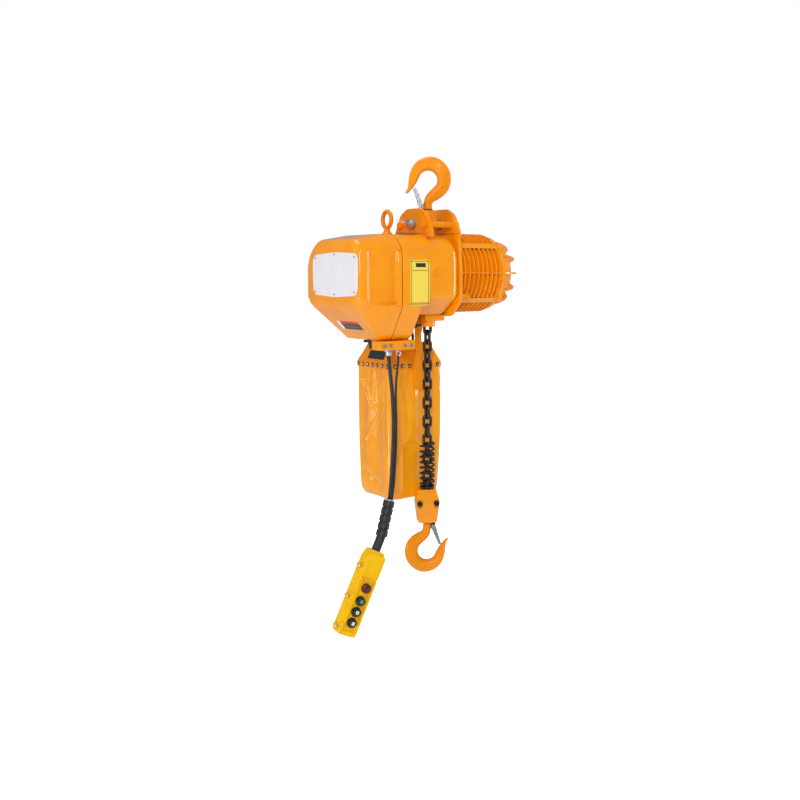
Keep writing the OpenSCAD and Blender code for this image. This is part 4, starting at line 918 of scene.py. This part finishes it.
front = hand_shell("pendant_front_shell", 0, -HAND_D / 2, -9)
raised = lofted("raised", [[(u, y, w) for u, w in box_outline(-29 + i, -88 + i, 29 - i, -12 - i, 7)]
                           for y, i in ((-18, 0), (-28.4, 0), (-29.6, 0.9), (-30, 2.6))], AT_HAND)
combined(front, raised, "UNION")
cut(front, box_outline(-23, -80, 23, -66, 3), "Y", -29.2, -34, AT_HAND)
channel = slab("cutter", box_outline(-20, -256, 20, -96, 9, 5), "Y", -23.4, -40, AT_HAND)
combined(front, bevelled(channel, 0.8))
for outline in (box_outline(-30, -262, -20.8, -90, 2.6), box_outline(20.8, -262, 30, -90, 2.6),
                box_outline(-29, -271, 29, -258, 4)):
    combined(front, bevelled(slab("rail", outline, "Y", -15, -28.6, AT_HAND), 1.4), "UNION")
cut(front, box_outline(-30.6, -240, -27.2, -100, 1.5), "Y", -22, -32, AT_HAND)
finished(front, yellow, "pendant", ["pendant_front"], 30)
finished(hand_shell("pendant_rear_shell", 0.3, HAND_D / 2, 9), yellow, "pendant", ["pendant_rear"], 30)

# %% [markdown]
# The stop button is a dark red mushroom; the start, up and down buttons are black caps in guards.
# An up arrow, a down arrow and a plain green square mark them, and none of them carries words.

# %% Push buttons
arrow_green = finish("printed_green_mark", "black_button_plastic", ("#1F9C78", "#2AAE86"),
                     6, (0.35, 0.5), 0.6, 0.01)
arrow_white = finish("printed_white_mark", "black_button_plastic", ("#E8E8E6", "#F6F6F4"),
                     6, (0.35, 0.5), 0.6, 0.01)
FACE_Y = -HAND_D / 2
# place down the face, radius, how far it stands out, roundness of its crown
keys = {"stop": (-118, 15, 16, 3.2, red_cap), "start": (-160, 13, 12, 1.0, black_cap),
        "up": (-195, 13, 12, 1.0, black_cap), "down": (-230, 13, 12, 1.0, black_cap)}


def on_face(name, profile, z):
    return turned(name, profile, (0, FACE_Y, z), (0, -1, 0), place=AT_HAND)


for name, (z, r, top, crown, material) in keys.items():
    button = on_face(name + "_button_cap", [
        (-18, r - 2.4), (1.4, r - 2.4), (2.4, r - 0.8), (3.6, r), (top - crown - 1.2, r),
        (top - crown + 0.2, r - 0.9), (top - crown * 0.4, r * 0.72), (top - crown * 0.1, r * 0.4),
        (top, 0.02)], z)
    finished(button, material, name + "_key", [name + "_button"], 50, even=False)
    guard = on_face(name + "_guard", [(-1.2, r + 2.6), (1.6, r + 2.6), (2.6, r + 1.8), (2.6, r + 0.7)], z)
    combined(guard, on_face("cutter", [(-5, r + 0.5), (5, r + 0.5)], z))
    finished(guard, yellow if name == "stop" else black_cap, "pendant")
arrows = {"up": [(-2.6, -2), (2.6, -2), (0, 2.8)], "down": [(-2.6, 2), (0, -2.8), (2.6, 2)]}
for name in ("start", "up", "down"):
    z, top = keys[name][0], FACE_Y - keys[name][2]
    plate = slab(name + "_mark", box_outline(-5, z - 5, 5, z + 5, 1.6), "Y", top - 0.25, top + 1.1, AT_HAND)
    finished(bevelled(plate, 0.15), arrow_green if name == "start" else arrow_white, name + "_key")
    if name in arrows:
        outline = rounded([(u, z + w, 0.3) for u, w in arrows[name]], 3)
        arrow = slab(name + "_arrow", outline, "Y", top - 0.4, top, AT_HAND)
        finished(arrow, black_cap, name + "_key")

# %% Pendant screws
heads = []
for x in (-LUG_X, LUG_X):
    for z in LUG_Z:
        screw = turned("screw", [(-11, 2.5), (9.1, 2.5), (9.1, 4.4), (10.6, 4.6), (11.7, 3.6), (12.1, 1.8)],
                       (x, 0, z), (0, -1, 0), 24, AT_HAND)
        cut(screw, box_outline(x - 0.5, z - 3.4, x + 0.5, z + 3.4, 0.2), "Y", -11.2, -14, AT_HAND)
        heads.append(screw)
finished(joined("pendant_screw_set", heads), zinc, "pendant", ["pendant_screws"])

# %% [markdown]
# A moulded rubber sleeve guards the place where the cable enters the pendant. Its rings let it
# bend, and a narrower spigot below is clamped between the two shells.

# %% Rubber sleeve
low_end, high_end = AT_HAND @ Vector((0, 0, 44)), Vector((-188, -60, -1009))
sleeve_l, sleeve_way = (high_end - low_end).length, (high_end - low_end).normalized()
profile = [(0, 15.4)]
for k in range(5):
    a, b = k * sleeve_l / 5, k * sleeve_l / 5 + sleeve_l / 5
    profile += [(a + 0.6, 17), (a + 1.8, 18), (b - 5.6, 17.8), (b - 4.4, 17), (b - 3.8, 15.6),
                (b - 0.6, 15.4)]
profile += [(sleeve_l - 0.4, 15.2), (sleeve_l, 14.2)]
sleeve = turned("sleeve", profile, low_end, sleeve_way)
spigot = turned("spigot", [(-18, 13.6), (-17, 14), (46, 14), (48, 13.4)], place=AT_HAND)
finished(joined("pendant_sleeve", [sleeve, spigot]), rubber, "pendant", ["pendant_boot"], 40, even=False)
band_at = high_end - sleeve_way * 4.2
band = turned("sleeve_band", [(0, 15.6), (0.6, 16.4), (4.4, 16.4), (5, 15.6)], band_at, sleeve_way)
finished(bored(band, -2, 8, 15.0, band_at, sleeve_way), zinc, "pendant")

# %% [markdown]
# The cable gland has a hexagonal nut over a tapered clamp. The eye of the strain rope hangs from
# its own small ring.

# %% Cable gland
GLAND, EYE = (-178, -42, -548), (-142, -42, -548)
body = bevelled(turned("gland_nut", [(-8, 10.6), (-7.2, 12), (-0.9, 12), (-0.1, 11)], GLAND, sides=6), 0.5)
combined(body, turned("taper", [(-18, 8.4), (-17.4, 9), (-8, 11), (-7, 11)], GLAND), "UNION")
combined(body, turned("thread", [(-1, 8), (20, 8)], GLAND, sides=32), "UNION")
bored(body, -19, 0, 6.2, GLAND, sides=32)
eye_turn = shift(*EYE) @ spin(30, "Z")
eye_ring = [eye_turn @ Vector((0, 7.5 * sine(a), -12.5 + 7.5 * cosine(a))) for a in range(0, 372, 12)]
eye = swept("eye", eye_ring, [2] * len(eye_ring), 12, eye_turn.to_3x3() @ Vector((1, 0, 0)))
eye_nut = bevelled(turned("eye_nut", [(-4, 10), (-3.3, 11), (-0.1, 11)], EYE, sides=6), 0.4)
eye_stem = turned("eye_stem", [(-4.5, 3), (0, 8), (12, 8)], EYE, sides=32)
finished(joined("cable_gland_set", [body, eye, eye_nut, eye_stem]), zinc, "hoist", ["cable_gland"])

# %% [markdown]
# The labels are thin printed vinyl with no words: a yellow rating label with a black head and an
# orange rule, a small dark sticker on the cover's slope and another on the hood. Each lies on its
# surface, and its colours are plain bands on its own UV map.

# %% Vinyl labels
def label(name, corners, thick, ground, bands, frame_hex=None):
    """corners is a grid of rows from the top down, each a list of points from left to right; bands
    are (lowest u, highest u, lowest v, highest v, hex) on the label's own UV map."""
    rows, columns = len(corners), len(corners[0])
    clear()
    bpy.ops.mesh.primitive_grid_add(x_subdivisions=columns - 1, y_subdivisions=rows - 1, size=2)
    piece = bpy.context.object
    piece.name = piece.data.name = name
    for v in piece.data.vertices:
        column = round((v.co.x + 1) / 2 * (columns - 1))
        row = round((1 - v.co.y) / 2 * (rows - 1))
        v.co = Vector(corners[row][column]) * MM
    modify(piece, "SOLIDIFY", thickness=thick * MM, offset=1)
    material = finish(name + "_vinyl", "plate_silver", (ground, ground), 30, (0.3, 0.42), 1.2, 0.01)
    tree = material.node_tree
    across = add(tree, "SeparateXYZ", {0: add(tree, "TexCoord", {})["UV"]})
    colour = tree.nodes["Principled BSDF"].inputs["Base Color"]
    shade = colour.links[0].from_socket
    for *limits, code in bands:
        tests = [add(tree, "Math", {0: across[k // 2], 1: limit},
                     operation=("GREATER_THAN", "LESS_THAN")[k % 2])[0] for k, limit in enumerate(limits)]
        inside = tests[0]
        for test in tests[1:]:
            inside = add(tree, "Math", {0: inside, 1: test}, operation="MULTIPLY")[0]
        shade = add(tree, "Mix", {0: inside, 6: shade, 7: linear(code)}, data_type="RGBA")[2]
    if frame_hex:
        edges = []
        for socket, margin in ((0, 0.06), (1, 0.03)):
            centred = add(tree, "Math", {0: across[socket], 1: 0.5}, operation="SUBTRACT")[0]
            away = add(tree, "Math", {0: centred}, operation="ABSOLUTE")[0]
            edges.append(add(tree, "Math", {0: away, 1: 0.5 - margin, 2: margin * 0.3},
                             operation="COMPARE")[0])
        rim = add(tree, "Math", {0: edges[0], 1: edges[1]}, operation="MAXIMUM")[0]
        shade = add(tree, "Mix", {0: rim, 6: shade, 7: linear(frame_hex)}, data_type="RGBA")[2]
    tree.links.new(shade, colour)
    return finished(piece, material, "hoist", even=False)


def front_of(ring, z):
    """The y of a casing ring's front wall at a height."""
    front = [p for p in ring if p[1] < MID_Y - 60]
    a, b = sorted(front, key=lambda p: abs(p[2] - z))[:2]
    t = 0 if abs(b[2] - a[2]) < 1e-6 else (z - a[2]) / (b[2] - a[2])
    return a[1] + (b[1] - a[1]) * t


RATING_TOP, RATING_H = -277, 136
front_wall = gear_ring(-140, 1, 0)
rating = [[(x, front_of(front_wall, z) - 0.15, z) for x in (-144, -126, -108, -91, -73)]
          for z in [RATING_TOP - RATING_H * k / 16 for k in range(17)]]
label("rating_label", rating, 0.25, "#F2D94E", [
    (0.28, 0.8, 0.84, 0.93, "#2A2620"), (0.1, 0.9, 0.76, 0.775, "#6E6A3C"),
    (-1, 2, 0.02, 0.075, "#EFA23C")], "#7A7648")


def slope_point(x, y, lift):
    """A point on the cover's sloping underside."""
    s = (SLOPE_X - x) / (SLOPE_X - END_X)
    normal = Vector((-SLOPE_RISE, 0, END_X - SLOPE_X)).normalized()
    return Vector((x, y, LOBE_LOW + SLOPE_RISE * s)) + normal * lift


sticker = [[slope_point(x, y, 0.1) for y in (108, 79, 49, 20, -10)] for x in (-271, -259, -247)]
label("slope_sticker", sticker, 0.25, "#2B2C30", [
    (-1, 2, 0.7, 2, "#D0202A"), (0.12, 0.9, 0.3, 0.36, "#8A8C90"), (-1, 0.13, -1, 2, "#F2F2F2")])


def hood_point(y, t, lift):
    """A point on the left slope of the hood."""
    low, high = Vector((BAG_MID[0] - NEAR, y, BAG_RIM + 8)), Vector((BAG_MID[0] - BAG_W / 2 + 24, y, -542))
    along = high - low
    return low.lerp(high, t) + Vector((-along.z, 0, along.x)).normalized() * lift


dark = [[hood_point(y, t, 0.2) for y in (176, 146, 116, 84)] for t in (0.62, 0.4, 0.18)]
label("hood_sticker", dark, 0.25, "#10222E", [(0.1, 0.9, 0.45, 0.52, "#2F4654")])

# %% [markdown]
# Inside the casings, and on the chain, the CAD shapes are right as they are, and each takes the
# finish of its real material.

# %% Finishes for the CAD pieces
cad_finish = {
    "back_panel bag_rivets": zinc, "contactors": switchgear, "transformer stator rotor_core": lamination,
    "gearbox_end_plate gearbox_mid_plate bearing_wall bearings motor_shaft": ground,
    "first_gear_shaft second_gear_shaft load_sheave load_gear": ground, "brake_coil": copper,
    "brake_disc": oxide, "load_chain": chain_black}
for nodes, material in cad_finish.items():
    for node in nodes.split():
        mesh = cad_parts[node].data
        mesh.materials.clear()
        mesh.materials.append(material)
    print(nodes, "in", material.name)

# %% [markdown]
# A pale floor and large soft lamps, as in a studio for catalogue pictures. The lamps at the left
# are tall, so that the cover's rounded edges carry long upright highlights.

# %% Floor and light
clear()
bpy.ops.mesh.primitive_plane_add(size=60, location=(0, 0, -1.62))
floor = bpy.context.object
floor.name = "floor"
paper = bpy.data.materials.new("pale_floor")
paper.use_nodes = True
tree = paper.node_tree
inputs = tree.nodes["Principled BSDF"].inputs
inputs["Base Color"].default_value = linear("#F4F4F4")
inputs["Roughness"].default_value = 0.9
inputs["Emission Color"].default_value = (1, 1, 1, 1)
# it glows for the camera alone, so that it is pale in the picture and throws no light up
glow = add(tree, "MapRange", {"Value": add(tree, "LightPath", {})["Is Camera Ray"],
                              "To Min": 0.02, "To Max": 1.0})[0]
tree.links.new(glow, inputs["Emission Strength"])
floor.data.materials.append(paper)

world = bpy.data.worlds.new("studio")
bpy.context.scene.world = world
world.use_nodes = True
sky = world.node_tree
room = sky.nodes["Background"]
room.inputs[0].default_value, room.inputs[1].default_value = (1, 1, 1, 1), 0.34
seen = add(sky, "Background", {0: (1, 1, 1, 1), 1: 1.0})[0]
both = add(sky, "MixShader", {0: add(sky, "LightPath", {})["Is Camera Ray"], 1: room.outputs[0], 2: seen})
sky.links.new(both[0], sky.nodes["World Output"].inputs[0])
bpy.context.scene.view_settings.view_transform = "Standard"


def lamp(name, at, aim, width, height, power):
    bpy.ops.object.light_add(type="AREA", location=at)
    light = bpy.context.object
    light.name = name
    light.data.shape = "RECTANGLE"
    light.data.size, light.data.size_y, light.data.energy = width, height, power
    light.rotation_euler = (Vector(aim) - Vector(at)).to_track_quat("-Z", "Y").to_euler()


lamp("key", (-2.2, -2.6, 0.7), (0, 0, -0.5), 0.5, 1.8, 50)
lamp("fill", (2.7, -1.1, -0.1), (0, 0, -0.6), 0.5, 1.9, 30)
lamp("front", (-0.5, -2.9, 1.9), (0, 0, -0.5), 0.9, 0.6, 16)
lamp("low", (-2.4, -0.7, -1.4), (-0.2, 0, -0.5), 0.8, 0.5, 14)
lamp("top", (-0.3, 0.2, 1.9), (0, 0, -0.5), 1.2, 1.2, 18)
lamp("edge", (-2.4, 1.4, -0.4), (0, 0, -0.5), 0.4, 1.8, 8)
